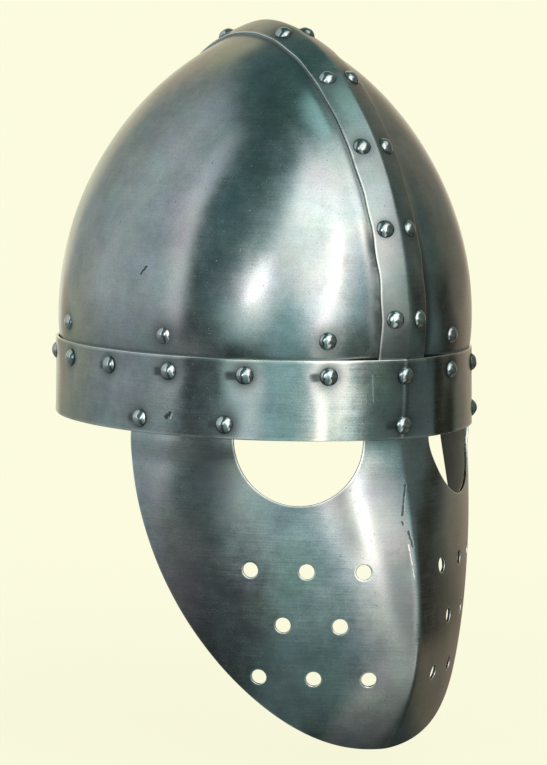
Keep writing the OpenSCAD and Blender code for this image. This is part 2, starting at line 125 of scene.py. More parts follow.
def made(tree, kind, inputs=None, output=0, **settings):
    """Adds a node with its settings, gives each input a value or a link, and returns an output."""
    node = tree.nodes.new("ShaderNode" + kind)
    for key, value in settings.items():
        setattr(node, key, value)
    for key, value in (inputs or {}).items():
        socket = node.inputs[key]
        if isinstance(value, Flow):
            tree.links.new(value.socket, socket)
        else:
            socket.default_value = (*value, 1) if socket.type == "RGBA" else value
    return Flow(tree, node.outputs[output]) if node.outputs else None


def step(operation, a, b=0.0, clamp=False):
    """One step of arithmetic between two values, the first or the second from a node."""
    tree = (a if isinstance(a, Flow) else b).tree
    return made(tree, "Math", {0: a, 1: b}, operation=operation, use_clamp=clamp)


def most(a, b):
    """The greater of two values."""
    return step("MAXIMUM", a, b)


def mix(share, a, b, blend="MIX"):
    """A mix of two colours: the second one's share is given."""
    tree = next(value.tree for value in (share, a, b) if isinstance(value, Flow))
    return made(tree, "Mix", {0: share, 6: a, 7: b}, 2, data_type="RGBA", blend_type=blend)


def layered(base, *layers):
    """A base colour with others laid over it in turn, each by its own share."""
    for share, colour in layers:
        base = mix(share, base, colour)
    return base


def times(colour, shade):
    """A colour multiplied by a value."""
    grey = made(shade.tree, "CombineColor", {0: shade, 1: shade, 2: shade})
    return mix(1.0, colour, grey, "MULTIPLY")


def ranged(value, low, high, to_low=0.0, to_high=1.0):
    """A value's range stretched smoothly to another, and kept inside it."""
    return made(value.tree, "MapRange",
                {"Value": value, "From Min": low, "From Max": high,
                 "To Min": to_low, "To Max": to_high}, interpolation_type="SMOOTHSTEP")


def below(value, start, end):
    """One below a bound and nothing above another."""
    return ranged(value, start, end, 1, 0)


def between(value, start, end, blur):
    """One between two bounds and nothing outside, with soft edges."""
    return ranged(value, start - blur, start + blur) * below(value, end - blur, end + blur)


def turns_of(vector):
    """Degrees round from the front, positive to the wearer's left, and round from the back."""
    x, y, z = (made(vector.tree, "SeparateXYZ", {0: vector}, axis) for axis in "XYZ")
    return step("ARCTAN2", x, y * -1.0) * DEGREES, step("ARCTAN2", x * -1.0, y) * DEGREES, z


def rays(tree):
    """Whether a ray is the camera's or has come through glass, and whether a mirror sent it."""
    camera, glass, mirror = (made(tree, "LightPath", output=f"Is {kind} Ray")
                             for kind in ("Camera", "Transmission", "Glossy"))
    return most(camera, glass), mirror


def add_room():
    """The room by direction, in degrees round from the front and up from level."""
    world = bpy.data.worlds.new("studio room")
    bpy.context.scene.world = world
    tree = cleared(world)
    turn, behind, height = turns_of(made(tree, "TexCoord", output="Generated"))
    rise = step("ARCSINE", height) * DEGREES
    walls = mix(ranged(rise, 44, 72), (0.20, 0.33, 0.32), (0.11, 0.21, 0.20))
    gap = mix(between(rise, 18, 42, 9), (0.10, 0.19, 0.19), (0.15, 0.29, 0.29))
    # The corner on the wearer's left is dark, and warms towards the pale wall behind.
    corner = mix(ranged(turn, 77, 93), (0.19, 0.235, 0.22), (0.33, 0.31, 0.25))
    corner = layered(corner, (ranged(turn, 112, 136), (0.75, 0.62, 0.46)),
                     (between(turn, 70, 88, 5) * below(rise, 3, 12), (0.06, 0.055, 0.04)))
    pale_wall = mix(ranged(rise, -2, 16), PALE, (0.86, 0.75, 0.56))
    # The side window brightens towards its front end, and its top slopes.
    side_window = mix(ranged(behind, 10, 44), (0.54, 0.60, 0.57), (0.93, 1.05, 1.11))
    side_window = layered(side_window, (between(behind, 52, 68, 6), (0.74, 0.88, 0.95)),
                          (ranged(behind, 68, 79), (1.65, 1.70, 1.74)))
    sloped = rise + ranged(behind, 2, 26, 9, 0)
    # The front window leans away to its left, and glows a little beyond its edges. It is paler
    # in the middle, and has a dimmer lower part, a bright upright strip and a dim pocket.
    near_side = (turn - rise * (rise * 0.003 + 0.6) + 69.0) * 0.7
    far_side = rise * 0.5 - (turn + 3.0) + ranged(rise, 34, 44, 0, 34)
    inside = step("MINIMUM", step("MINIMUM", near_side, 60.0 - rise), far_side)
    upright = turn - rise * 0.42
    aside, up = (turn + 43) / 15, (rise + 3) / 15
    window = mix(ranged(turn, -52, -24), (1.9, 2.0, 1.98), (2.9, 2.8, 2.72))
    window = layered(window, (ranged(turn, 4, 30), (1.7, 1.7, 1.65)),
                     (ranged(turn, -11, -2) * below(rise, 22, 36), (1.6, 1.65, 1.6)),
                     (between(upright, -21.5, -13.5, 2.5) * below(rise, 24, 44), (5.8, 5.0, 4.7)),
                     (below(step("SQRT", aside * aside + up * up), 0.6, 1.15), (0.6, 1.0, 1.02)))
    # In order: the gap between the windows, a paler stretch of wall on the wearer's left, the
    # corner, the wall behind, the side window, the front window's glow, the window itself, and
    # the pale light overhead.
    walls = layered(walls, (between(turn, -97, -62, 5), gap),
                    (between(turn, 3, 26, 6) * below(rise, 20, 36), (0.28, 0.47, 0.45)),
                    (between(turn, 26, 176, 9) * below(rise, 30, 52), corner),
                    (between(behind, -47, 2, 6) * below(rise, 44, 52), pale_wall),
                    (between(behind, -4, 82.5, 3) * below(sloped, 55, 67), side_window),
                    (ranged(inside, -14, 1), (0.75, 1.05, 1.08)),
                    (ranged(inside, -3.5, 3.5), window),
                    (between(turn, 8, 62, 8) * between(rise, 63, 82, 3.5), (1.05, 1.6, 1.6)))
    seen, mirror = rays(tree)
    back_wall = between(behind, -44, -12, 5) * below(rise, 4, 14)
    shown = mix(most(seen, mirror * back_wall), walls, PALE)
    light = made(tree, "Background", {"Color": shown, "Strength": 1})
    made(tree, "OutputWorld", {"Surface": light})


def add_floor():
    """A pale floor. It is plain at a distance, and keeps the light and shadow near the helmet.

    Cameras and glass see it pale. Mirrors see painted light on it instead: pale behind the
    helmet, the windows' light painted on elsewhere, and painted shade close by, where the helmet
    would shade it. Places are in degrees round from the front and metres away. Its painted
    layers are, in order, the gap between the windows and a dark patch there, the front window's
    light, its streak and its bright strip, the painted shadow below the chin, the dim left side,
    its darkest part and the warmer light beyond that, a bright pool below the front, the warm
    light from behind, far and near, and the pale wall's.
    """
    mesh = bpy.data.meshes.new("floor")
    mesh.from_pydata([(x * FLOOR_HALF, y * FLOOR_HALF, FLOOR_HEIGHT)
                      for x, y in ((-1, -1), (1, -1), (1, 1), (-1, 1))], [], [(0, 1, 2, 3)])
    floor = placed("floor", mesh)
    material = bpy.data.materials.new("pale floor")
    tree = cleared(material)
    coords = made(tree, "TexCoord", output="Object")
    turn, behind, _ = turns_of(coords)
    far = made(tree, "VectorMath", {0: coords}, "Value", operation="LENGTH")
    gap = mix(ranged(turn, -84, -74), (0.48, 0.52, 0.50), (0.20, 0.23, 0.23))
    gap = mix(ranged(far, 0.6, 2.0), gap, (0.10, 0.12, 0.125))
    painted_floor_light = mix(ranged(turn, -165, -135), (0.54, 0.57, 0.46), (0.52, 0.62, 0.64))
    narrowed = turn + ranged(far, 0.8, 1.8, -20, 0)
    shifted = turn - ranged(far, 1.2, 2.6, 0, 2)
    strip = mix(ranged(far, 1.3, 2.7), (3.1, 2.75, 2.5), (4.9, 4.1, 3.6))
    painted_floor_light = layered(
        painted_floor_light, (between(turn, -98, -45, 5), gap),
        (between(turn, -68, -56, 3) * between(far, 0.65, 1.2, 0.1), (0.03, 0.05, 0.05)),
        (between(narrowed, -70, -8, 6), (0.60, 0.92, 0.91)),
        (between(turn, -71, -54, 5) * ranged(far, 1.2, 2.2), (1.25, 1.6, 1.55)),
        (between(shifted, -24.5, -17.5, 2) * ranged(far, 0.32, 0.6), strip),
        (below(far, 0.19, 0.25) * between(turn, -26, -8, 4), (0.05, 0.06, 0.05)),
        (between(turn, -9, 190, 5), (0.22, 0.28, 0.26)),
        (between(turn, 73, 89, 4), (0.035, 0.032, 0.022)),
        (between(turn, 91, 190, 6), (0.40, 0.35, 0.26)),
        (between(far, 0.23, 0.45, 0.04) * between(turn, -18, 2, 4), (2.8, 2.75, 2.6)),
        (between(turn, 108, 190, 9), (0.55, 0.47, 0.35)),
        (between(turn, 34, 190, 14) * below(far, 0.3, 0.48), (0.75, 0.63, 0.46)),
        (between(behind, -48, -10, 5), PALE))
    # Painted shade close to the helmet, on the light that mirrors see.
    painted_floor_light = times(painted_floor_light, far * 1.3 / (far + 0.7))
    seen, mirror = rays(tree)
    seen = seen * ranged(far, 0.2, 0.75, 0.93, 1.0)
    surface = made(tree, "BsdfDiffuse", {"Color": (0.85, 0.84, 0.68)})
    pale, mirrored = (made(tree, "Emission", {"Color": colour, "Strength": 1})
                      for colour in (PALE, painted_floor_light))
    clear = made(tree, "BsdfTransparent")
    under = made(tree, "NewGeometry", output="Backfacing")
    for share, shader in ((seen, pale), (mirror, mirrored), (under, clear)):
        surface = made(tree, "MixShader", {0: share, 1: surface, 2: shader})
    made(tree, "OutputMaterial", {"Surface": surface})
    mesh.materials.append(material)


add_camera()
add_room()
add_floor()
add_lamp()
bpy.context.scene.view_settings.view_transform = "Standard"

# The skull: two iron plates, dished by hammer over a stake and planished smooth, meeting edge
# to edge under the crest band. Each half rises to a raised edge there, like a low roof.
MM = 0.001
PLATE, GAP = 1.6, 0.15
LAYER = PLATE + GAP
EDGE_ROUND = 0.35
BAND_A, BAND_B, BAND_HEIGHT, BAND_LEAN = 118, 100, 38.7, 0.8
SKULL_A, SKULL_B = BAND_A - BAND_LEAN - LAYER, BAND_B - BAND_LEAN - LAYER
SKULL_RISE, SKULL_FOOT = 157, 16
FRONT_BELLY, FRONT_PEAK = 1.97, 1.89
BACK_BELLY, BACK_PEAK = 1.79, 1.8
SIDE_BELLY, SIDE_PEAK = 2.38, 1.43
SWELL_LONG, SWELL_SIDE, SWELL_SKEW = 3.5, 1.3, 0.6
RIDGE_LOW, RIDGE_TOP, RIDGE_HALF, RIDGE_ROUND = 5.3, 3.2, 16, 0.7
RIDGE_START, RIDGE_RUN, RIDGE_EASE, RIDGE_FADE, RIDGE_LEVEL = 2, 55, 1.5, 0.02, 2.011
SKULL_ROWS, RIDGE_COLUMNS, ROUND_COLUMNS = 130, 26, 62
# Strengths of the skull's dark marks: oil and painted shade round the rivets, painted gap shadow
# along the crest and the band, and painted shade beside the crest.
HEAD_SOOT_AND_SHADE, JOINT_SOOT_AND_SHADE, FOOT_SOOT_AND_SHADE, SIDE_SHADE = 0.9, 0.65, 0.5, 0.95
HAMMER_WAVES, RIM_MARK = 7, 0.55
SMALL_TURN = 0.017  # the short step round, in radians, that a way out is worked out from


def unit(v):
    """Vectors scaled to length one."""
    return v / np.linalg.norm(v, axis=-1, keepdims=True)


def soft(u):
    """Falls from one to nothing in half a wave as u goes from nothing to one."""
    return (1 + np.cos(np.pi * np.clip(u, 0, 1))) / 2


def fades(x, start, end):
    """One up to the start, nothing past the end, and half a wave between."""
    return soft((x - start) / (end - start))


def hill(x, centre, width):
    """A bell curve: one at the centre, and next to nothing two widths away."""
    return np.exp(-((x - centre) / width) ** 2)


def length_along(line):
    """How far each point of a line lies along it from its first."""
    steps = np.linalg.norm(np.diff(line, axis=0), axis=1)
    return np.concatenate([[0], np.cumsum(steps)])


def climb(z):
    """Share of the skull's rise reached at a height."""
    return np.clip((z - BAND_HEIGHT) / SKULL_RISE, 0, 1)


def flare(z):
    """The lean of the skull's hidden foot, which follows the brow band."""
    return BAND_LEAN * (1 - np.clip(z / BAND_HEIGHT, 0, 1))


def reach(t, belly, peak):
    """What is left of a half size at share t of the rise: (1 - t to one power) to another."""
    return np.maximum(1e-9, 1 - t ** belly) ** (1 / peak)


def half_length(z, front):
    """Half length of the skull's oval at a height, by its front or its back outline."""
    t = climb(z)
    size = SKULL_A + flare(z) + SWELL_LONG * np.sin(np.pi * t ** SWELL_SKEW)
    return size * np.where(front, reach(t, FRONT_BELLY, FRONT_PEAK),
                           reach(t, BACK_BELLY, BACK_PEAK))


def half_breadth(z):
    """Half breadth of the skull's oval at a height."""
    t = climb(z)
    size = SKULL_B + flare(z) + SWELL_SIDE * np.sin(np.pi * t ** SWELL_SKEW)
    return size * reach(t, SIDE_BELLY, SIDE_PEAK)


def oval(phi, z):
    """A point of the skull without its raised edge: phi turns from the front to the left."""
    x = half_breadth(z) * np.sin(phi)
    y = -half_length(z, np.cos(phi) > 0) * np.cos(phi)
    return np.stack([x, y, z + 0 * phi], -1)


def skull_normal(phi, z):
    """The way out of the skull, from short steps round it and up it."""
    dz = np.minimum(0.4, (BAND_HEIGHT + SKULL_RISE - z) / 2)
    return unit(np.cross(oval(phi + SMALL_TURN, z) - oval(phi - SMALL_TURN, z),
                         oval(phi, z + dz) - oval(phi, z - dz)))


def roof(x, z):
    """Height of the raised edge: a roof over the middle, eased in from the front upwards."""
    ridge = np.clip((z - RIDGE_START) / RIDGE_RUN, 0, 1) ** RIDGE_EASE
    ridge = ridge * (RIDGE_LOW + (RIDGE_TOP - RIDGE_LOW) * climb(z))
    fall = 1 - (np.sqrt(x * x + RIDGE_ROUND ** 2) - RIDGE_ROUND) / RIDGE_HALF
    return ridge * (fall + np.sqrt(fall * fall + RIDGE_FADE)) / RIDGE_LEVEL


def waver(p, size, wave, seed):
    """Gentle unevenness left by the hammer: crossed waves of nearly one length."""
    rng = np.random.default_rng(seed)
    total = 0
    for _ in range(HAMMER_WAVES):
        way = unit(rng.normal(size=3)) / (wave * rng.uniform(0.7, 1.5))
        total = total + np.sin(2 * np.pi * (p @ way) + rng.uniform(0, 6.3))
    return size * total / np.sqrt(HAMMER_WAVES)


def rim_profile(thickness, corner):
    """A cut edge seen from its end, as pairs (outwards, down) with both corners rounded."""
    turn = np.radians([30, 60, 90])
    upper = np.stack([corner * np.sin(turn), corner * (1 - np.cos(turn))], -1)
    lower = np.stack([upper[:, 0], thickness - upper[:, 1]], -1)[::-1]
    return np.concatenate([upper, lower])


def plate_shell(points, normals, faces, loops, thickness=PLATE, corner=EDGE_ROUND):
    """Gives one face of a plate its other face and its cut edges.

    Each closed loop of edge points runs anticlockwise seen from outside, and clockwise round
    a hole. The edge goes out by the corner's radius along tangent x normal, and down the normal.
    Returns points, faces, how much each point belongs to an edge, and which lie inside.
    """
    count = len(points)
    everything = [points, points - normals * thickness]
    edge, inner = [np.zeros(count), np.zeros(count)], [np.zeros(count), np.ones(count)]
    quads = []
    start = 2 * count
    for loop in loops:
        p, n = points[loop], normals[loop]
        out = unit(np.cross(unit(np.roll(p, -1, 0) - np.roll(p, 1, 0)), n))
        rings = [loop]
        for aside, down in rim_profile(thickness, corner):
            everything.append(p + out * aside - n * down)
            edge.append(np.ones(len(loop)))
            inner.append(np.zeros(len(loop)))
            rings.append(np.arange(start, start + len(loop)))
            start += len(loop)
        rings.append(loop + count)
        edge[0][loop] = RIM_MARK
        for a, b in zip(rings[:-1], rings[1:]):
            quads.append(np.stack([a, b, np.roll(b, -1), np.roll(a, -1)], -1))
    all_faces = faces.tolist() + (faces + count)[:, ::-1].tolist() + np.concatenate(quads).tolist()
    return np.concatenate(everything), all_faces, np.concatenate(edge), np.concatenate(inner)


def grid_normals(grid):
    """The way out at each grid point, from its neighbours along rows and columns."""
    return unit(np.cross(np.gradient(grid, axis=1), np.gradient(grid, axis=0)))


def grid_shell(grid, normals, thickness=PLATE, corner=EDGE_ROUND):
    """A plate from a grid of points: four-sided faces, with the grid's edge as its one loop."""
    rows, columns = grid.shape[:2]
    index = np.arange(rows * columns).reshape(rows, columns)
    faces = np.stack([index[:-1, :-1], index[:-1, 1:], index[1:, 1:], index[1:, :-1]], -1)
    loop = np.concatenate([index[0, :-1], index[:-1, -1], index[-1, :0:-1], index[:0:-1, 0]])
    return plate_shell(grid.reshape(-1, 3), normals.reshape(-1, 3), faces.reshape(-1, 4), [loop],
                       thickness, corner)


def gaps(points, places):
    """How far each point lies from the closest of some places, worked out a part at a time."""
    return np.concatenate([np.linalg.norm(part[:, None] - places[None], axis=-1).min(1)
                           for part in np.array_split(points, 24)])


def near(points, places, size):
    """How near each point lies to the closest of some places: one at it, nothing far off."""
    return hill(gaps(points, places), 0, size)


def add_piece(node, points, faces, material, marks):
    """Makes a mesh in metres that rides on the helmet and stands for its CAD node."""
    name = node.replace("_", "-")
    mesh = bpy.data.meshes.new(name)
    mesh.from_pydata((points * MM).tolist(), [], faces)
    for key, values in marks.items():
        mark = mesh.attributes.new(key, "FLOAT", "POINT")
        mark.data.foreach_set("value", values.astype(np.float32))
    mesh.polygons.foreach_set("use_smooth", np.ones(len(mesh.polygons), bool))
    mesh.materials.append(material)
    mesh.update()
    piece = placed(name, mesh)
    piece.modifiers.new("even shading", "WEIGHTED_NORMAL").keep_sharp = False
    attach(piece, "root")
    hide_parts(node)
    return piece


def grain(coords, scale, detail, rough, stretch=(1, 1, 1), shift=0.0, output=0):
    """Noise at a scale per metre, stretched along some axes."""
    moved = made(coords.tree, "Mapping",
                 {"Vector": coords, "Scale": stretch, "Location": (shift, shift, shift)})
    return made(coords.tree, "TexNoise",
                {"Vector": moved, "Scale": scale, "Detail": detail, "Roughness": rough}, output)


def mark_of(tree, name):
    """A mesh's mark, from nothing to one."""
    return made(tree, "Attribute", output="Fac", attribute_name=name)


def scratch_gap(coords, start, end):
    """Distance from a straight scratch: to the nearest place along it, kept between its ends."""
    def vectors(operation, a, b, key=1, output=0):
        return made(coords.tree, "VectorMath", {0: a, key: b}, output, operation=operation)

    start, way = Vector(start) * MM, (Vector(end) - Vector(start)) * MM
    off = vectors("SUBTRACT", coords, start)
    share = vectors("DOT_PRODUCT", off, way / way.length_squared, output="Value")
    spot = vectors("SCALE", way, step("ADD", share, clamp=True), "Scale")
    return vectors("DISTANCE", off, spot, output="Value")


def iron(name, cool, deep, warm, gloss, brushed, drawn=0.0, warm_share=0.6,
         dark_scores=(), bright_scores=()):
    """Oiled iron: cool, deep and warm patches, mottling, fine brushing across, pits and scratches.

    One mark darkens and dulls it: dark oil with painted shade round the rivets, painted shadow in
    gaps and painted shade beside bright streaks. The mark scale is the dark forge skin left
    inside, partly a painted shade there too. The mark edge brightens it where it is cut or
    worn, and paints highlights along ridges and creases. Brushing runs level round the helmet,
    so it is fine along Z only and draws the highlights out upwards. Each scratch is its two
    ends and its half width in millimetres.
    """
    material = bpy.data.materials.new(name)
    tree = cleared(material)
    coords = made(tree, "TexCoord", output="Object")
    # Each pattern's scale per metre, its detail and its roughness.
    patches = grain(coords, 13, 3, 0.55)
    warmth = grain(coords, 9, 2, 0.5, shift=0.31)
    mottle = grain(coords, 85, 6, 0.7, shift=0.7)
    dimple = grain(coords, 55, 1, 0.4, shift=2.1)
    lines = grain(coords, 1, 3, 0.6, stretch=(55, 55, 1700))
    speck = grain(coords, 700, 2, 0.5, shift=1.3)
    satin = grain(coords, 1500, 1, 0.5, shift=3.7)
    tint = grain(coords, 38, 4, 0.65, output="Color")

    def scratched(base, scratches, core, strength):
        for start, end, width in scratches:
            ragged = ranged(speck, 0.3, 0.7, -0.3 * width * MM, 0.3 * width * MM)
            gap = scratch_gap(coords, start, end) + ragged
            base = most(base, ranged(gap, core * width * MM, width * MM, strength, 0.0))
        return base

    pit = scratched(ranged(speck, 0.71, 0.77, 0, 0.5), dark_scores, 0.5, 0.85)
    # Worn and cut edges, and the painted highlights along ridges and creases that share their mark.
    worn = mark_of(tree, "edge") * ranged(mottle, 0.35, 0.5, 0.6, 1.0)
    worn = scratched(worn, bright_scores, 0.4, 0.75)
    # Dark oil and painted shade from the mesh's mark, and the pits and dark scratches.
    dark = most(mark_of(tree, "soot_and_shade") * ranged(mottle, 0.3, 0.6, 0.7, 1.0), pit)
    scale = mark_of(tree, "scale")
    shade = (ranged(mottle, 0.25, 0.75, 0.86, 1.14)
             + ranged(lines, 0.3, 0.7, -brushed * 0.4, brushed * 0.4)
             + ranged(satin, 0.3, 0.7, -0.07, 0.07))
    colour = mix(ranged(patches, 0.36, 0.62), cool, deep)
    colour = mix(ranged(warmth, 0.48, 0.68, 0, warm_share), colour, warm)
    colour = times(mix(0.24, colour, tint, "SOFT_LIGHT"), shade)
    # The inside faces: dark forge skin, and painted shade where the inside lies in shadow.
    skin = mix(ranged(mottle, 0.3, 0.7), (0.030, 0.036, 0.037), (0.075, 0.072, 0.066))
    colour = layered(colour, (dark, (0.035, 0.045, 0.045)), (worn, (0.62, 0.63, 0.60)),
                     (scale * 0.97, skin))
    rough = (ranged(patches, 0.3, 0.7, gloss - 0.03, gloss + 0.03)
             + ranged(mottle, 0.3, 0.7, -0.025, 0.03)
             + ranged(lines, 0.3, 0.7, -0.12 * brushed, 0.12 * brushed))
    rough = step("ADD", rough, most(dark, scale) * 0.3, clamp=True)
    relief = lines * (brushed * 0.6) + dimple - pit * 1.2
    bump = made(tree, "Bump", {"Height": relief, "Distance": 0.00005, "Strength": 1.0})
    finish = {"Base Color": colour, "Roughness": rough, "Metallic": 1.0, "Normal": bump}
    if drawn:
        upright = made(tree, "CombineXYZ", {"Z": 1.0})
        finish.update({"Anisotropic": drawn, "Tangent": upright})
    surface = made(tree, "BsdfPrincipled", finish)
    made(tree, "OutputMaterial", {"Surface": surface})
    return material


def skull_heights(foot_rows, share):
    """Heights up the skull: even up its hidden foot, then by a sine to a power, closest on top."""
    return np.concatenate([np.linspace(SKULL_FOOT, BAND_HEIGHT, foot_rows)[:-1],
                           BAND_HEIGHT + SKULL_RISE * np.sin(share * np.pi / 2) ** 1.4])


def skull_turns(z):
    """Angles from front to back at each height, closest on the raised edge."""
    edge = np.arcsin(np.minimum(1, 1.3 * RIDGE_HALF / half_breadth(z)))
    edge = np.minimum(np.radians(40), edge)[:, None]
    ridge = np.arcsin(np.sin(edge) * np.linspace(0, 1, RIDGE_COLUMNS + 1))
    wall = edge + (np.pi / 2 - edge) * np.linspace(0, 1, ROUND_COLUMNS + 1)[1:]
    front = np.concatenate([ridge, wall], 1)
    return np.concatenate([front, np.pi - front[:, -2::-1]], 1)


def skull_surface(phi, z, off=0.0):
    """A point of the skull: its oval, its raised edge and the hammer's unevenness."""
    p, n = oval(phi, z), skull_normal(phi, z)
    lift = off + roof(p[..., 0], z) + waver(p, size=0.10, wave=48, seed=3)
    return p + n * lift[..., None]


def skull_half(side):
    """Half the skull as a grid of heights and angles, mirrored for the right side."""
    z = skull_heights(8, np.linspace(0, 0.999, SKULL_ROWS))
    phi = skull_turns(z)
    if side < 0:
        phi = -phi[:, ::-1]
    grid = skull_surface(phi, z[:, None] + 0 * phi)
    normals = grid_normals(grid)
    grid[..., 0] += side * (GAP + EDGE_ROUND)
    return grid_shell(grid, normals)


def skull_soot_and_shade(points, rivets):
    """Dark oil and painted shade round the rivets, painted gap shadow with some oil along the crest
    and the brow band, and painted shade beside the crest low in front.

    That painted shade reaches 4 mm out beside the crest, and up to 8 mm lower down.
    """
    x, y, z = np.abs(points[:, 0]), points[:, 1], points[:, 2]
    # Painted gap shadow, with some oil, beside the crest's edges and above the brow band's top
    # edge.
    beside_crest = hill(x, CREST_WIDTH / 2 + 0.5, 1.1) * (z > BAND_HEIGHT)
    joint = (JOINT_SOOT_AND_SHADE + (1 - JOINT_SOOT_AND_SHADE) * fades(z, 75, 105)) * beside_crest
    joint = np.maximum(joint, FOOT_SOOT_AND_SHADE * hill(z, BAND_HEIGHT + 0.4, 1.0))
    # Painted shade on the skull beside the crest, low in front.
    reach_out = 4 + 4 * np.clip((100 - z) / 33, 0, 1)
    side_shade = soft((x - 14) / reach_out) * fades(z, 92, 116) * (y < 0)
    return np.maximum(HEAD_SOOT_AND_SHADE * near(points, rivets, 6.2), np.maximum(joint, SIDE_SHADE * side_shade))


# Where the rivets sit, each as a point on the outermost plate and the way out of it. The brow
# band and the crest are the surfaces they stand on, so both are worked out here.
UPPER_ROW, LOWER_ROW, LINER_ROW = BAND_HEIGHT - 7.7, 6.9, BAND_HEIGHT + 9.3
BAND_RUNS = 38.8 + 40.9 * np.arange(8)
FACE_RUNS = np.array([89.5, 137.9])
LINER_RUNS = 39.9 + 84.6 * np.arange(4)
CREST_WIDTH, CREST_PAIR, CREST_FOOT, CREST_TOP_PITCH, CREST_PAIRS = 27, 14.6, 18.3, 50, 5
BAND_EASE, LAP_TURN, LAP_CLIMB = 23, 26 / BAND_B, np.radians(6)
CREST_STEP, CREST_DEEPEST = 1.5, 14.0
SIDES = (-1, 1)


def turn_at(s):
    """The angle on the brow band's oval at a distance measured round it from the front."""
    a2, b2 = BAND_A ** 2, BAND_B ** 2
    t = s / np.sqrt((a2 + b2) / 2)
    return t + (a2 - b2) / (a2 + b2) / 4 * np.sin(2 * t)


def band_surface(phi, z, off=0.0):
    """A point of the brow band: a leaning oval, lifted over the crest and lapped at the back."""
    lean = BAND_LEAN * z / BAND_HEIGHT
    x, y = (BAND_B - lean) * np.sin(phi), -(BAND_A - lean) * np.cos(phi)
    n = unit(np.stack([np.sin(phi) / BAND_B, -np.cos(phi) / BAND_A, 0 * phi], -1))
    over = np.pi - LAP_TURN - LAP_CLIMB
    lift = LAYER * soft((np.abs(x) - CREST_WIDTH / 2) / BAND_EASE) + roof(x, z)
    lift = lift + LAYER * (1 - soft((phi - over) / LAP_CLIMB)) + off
    return np.stack([x, y, z + 0 * phi], -1) + n * lift[..., None]


def band_places(turns, z):
    """Places of rivets on the brow band and the way out there."""
    turns = np.atleast_1d(np.asarray(turns, float))
    turns = np.where(turns < LAP_TURN - np.pi, turns + 2 * np.pi, turns)
    z = np.full(len(turns), float(z))
    along = band_surface(turns + SMALL_TURN, z) - band_surface(turns - SMALL_TURN, z)
    return band_surface(turns, z), unit(np.cross(along, [0, 0, 1.0]))


def crest_line():
    """The crest's middle line, front to back, as points (y, z) at even steps, with its length."""
    z = skull_heights(12, np.linspace(0, 1, 160))
    y = np.concatenate([-half_length(z, True)[:-1], [0], half_length(z, False)[-2::-1]])
    line = np.stack([y, np.concatenate([z, z[-2::-1]])], -1)
    length = length_along(line)
    top = length[len(z) - 1]
    s = np.arange(-top, length[-1] - top, CREST_STEP)
    even = np.stack([np.interp(s, length - top, line[:, k]) for k in (0, 1)], -1)
    return s, even


CREST_S, CREST_LINE = crest_line()
CREST_WAY = np.gradient(CREST_LINE, axis=0)
CREST_OUT = unit(np.stack([-CREST_WAY[:, 1], CREST_WAY[:, 0]], -1))


def crest_surface(x, s, off=LAYER):
    """A point of the crest band: out from the middle line, down by what the skull falls away.

    The fall is found by halving: the depth at which the level x mm aside meets the oval.
    """
    py, pz = (np.interp(s, CREST_S, CREST_LINE[:, k]) for k in (0, 1))
    ny, nz = (np.interp(s, CREST_S, CREST_OUT[:, k]) for k in (0, 1))
    shape = np.broadcast(x, s).shape
    low, high = np.zeros(shape), np.full(shape, CREST_DEEPEST)
    for _ in range(18):
        middle = (low + high) / 2
        y, z = py - ny * middle, pz - nz * middle
        beyond = (x / half_breadth(z)) ** 2 + (y / half_length(z, y < 0)) ** 2 > 1
        low, high = np.where(beyond, middle, low), np.where(beyond, high, middle)
    lift = off + roof(x, pz) - np.where(np.abs(x) < 0.02, 0, low)
    return np.stack([x + 0 * s, py + ny * lift, pz + nz * lift], -1)


def crest_places(side):
    """Places of one side's crest rivets, evenly spaced from the top pair down to the band."""
    above = CREST_S[CREST_LINE[:, 1] > BAND_HEIGHT]
    half = CREST_TOP_PITCH / 2
    s = np.concatenate([np.linspace(-half, above[0] + CREST_FOOT, CREST_PAIRS),
                        np.linspace(half, above[-1] - CREST_FOOT, CREST_PAIRS)])
    x = np.full(len(s), side * CREST_PAIR / 2)
    across = crest_surface(x + 1, s) - crest_surface(x - 1, s)
    along = crest_surface(x, s + CREST_STEP) - crest_surface(x, s - CREST_STEP)
    return crest_surface(x, s), unit(np.cross(across, along))


def liner_places(side):
    """Places of one side's liner rivets on the skull, a little above the brow band."""
    turns, z = side * LINER_TURNS, np.full(len(LINER_TURNS), LINER_ROW)
    return skull_surface(turns, z), skull_normal(turns, z)


BAND_TURNS, FACE_TURNS, LINER_TURNS = turn_at(BAND_RUNS), turn_at(FACE_RUNS), turn_at(LINER_RUNS)
FRONT_PLACE, NOSE_PLACE = band_places(0, UPPER_ROW), band_places(0, LOWER_ROW)
LAP_PLACE = band_places(np.pi, LOWER_ROW)
BAND_PLACES = {side: band_places(side * BAND_TURNS, UPPER_ROW) for side in SIDES}
FACE_PLACES = {side: band_places(side * FACE_TURNS, LOWER_ROW) for side in SIDES}
CREST_PLACES = {side: crest_places(side) for side in SIDES}
LINER_PLACES = {side: liner_places(side) for side in SIDES}

skull_iron = iron("skull iron", (0.31, 0.345, 0.345), (0.235, 0.28, 0.28), (0.29, 0.28, 0.27),
                  gloss=0.21, brushed=0.1, drawn=0.3,
                  dark_scores=[((-92.0, -32.8, 80.6), (-93.4, -30.1, 77.0), 0.7)])
for side, node in zip(SIDES, ("skull_half_right", "skull_half_left")):
    points, faces, edge, inner = skull_half(side)
    add_piece(node, points, faces, skull_iron,
              {"edge": edge, "soot_and_shade": skull_soot_and_shade(points, LINER_PLACES[side][0]), "scale": inner})

# The crest band: one iron strip bent to a ridge down its middle, hammered down over the joint
# of the halves and riveted along both sides. Its long edges are cut by hand, and show marks.
CREST_COLUMNS, CREST_DENTS = 34, 46


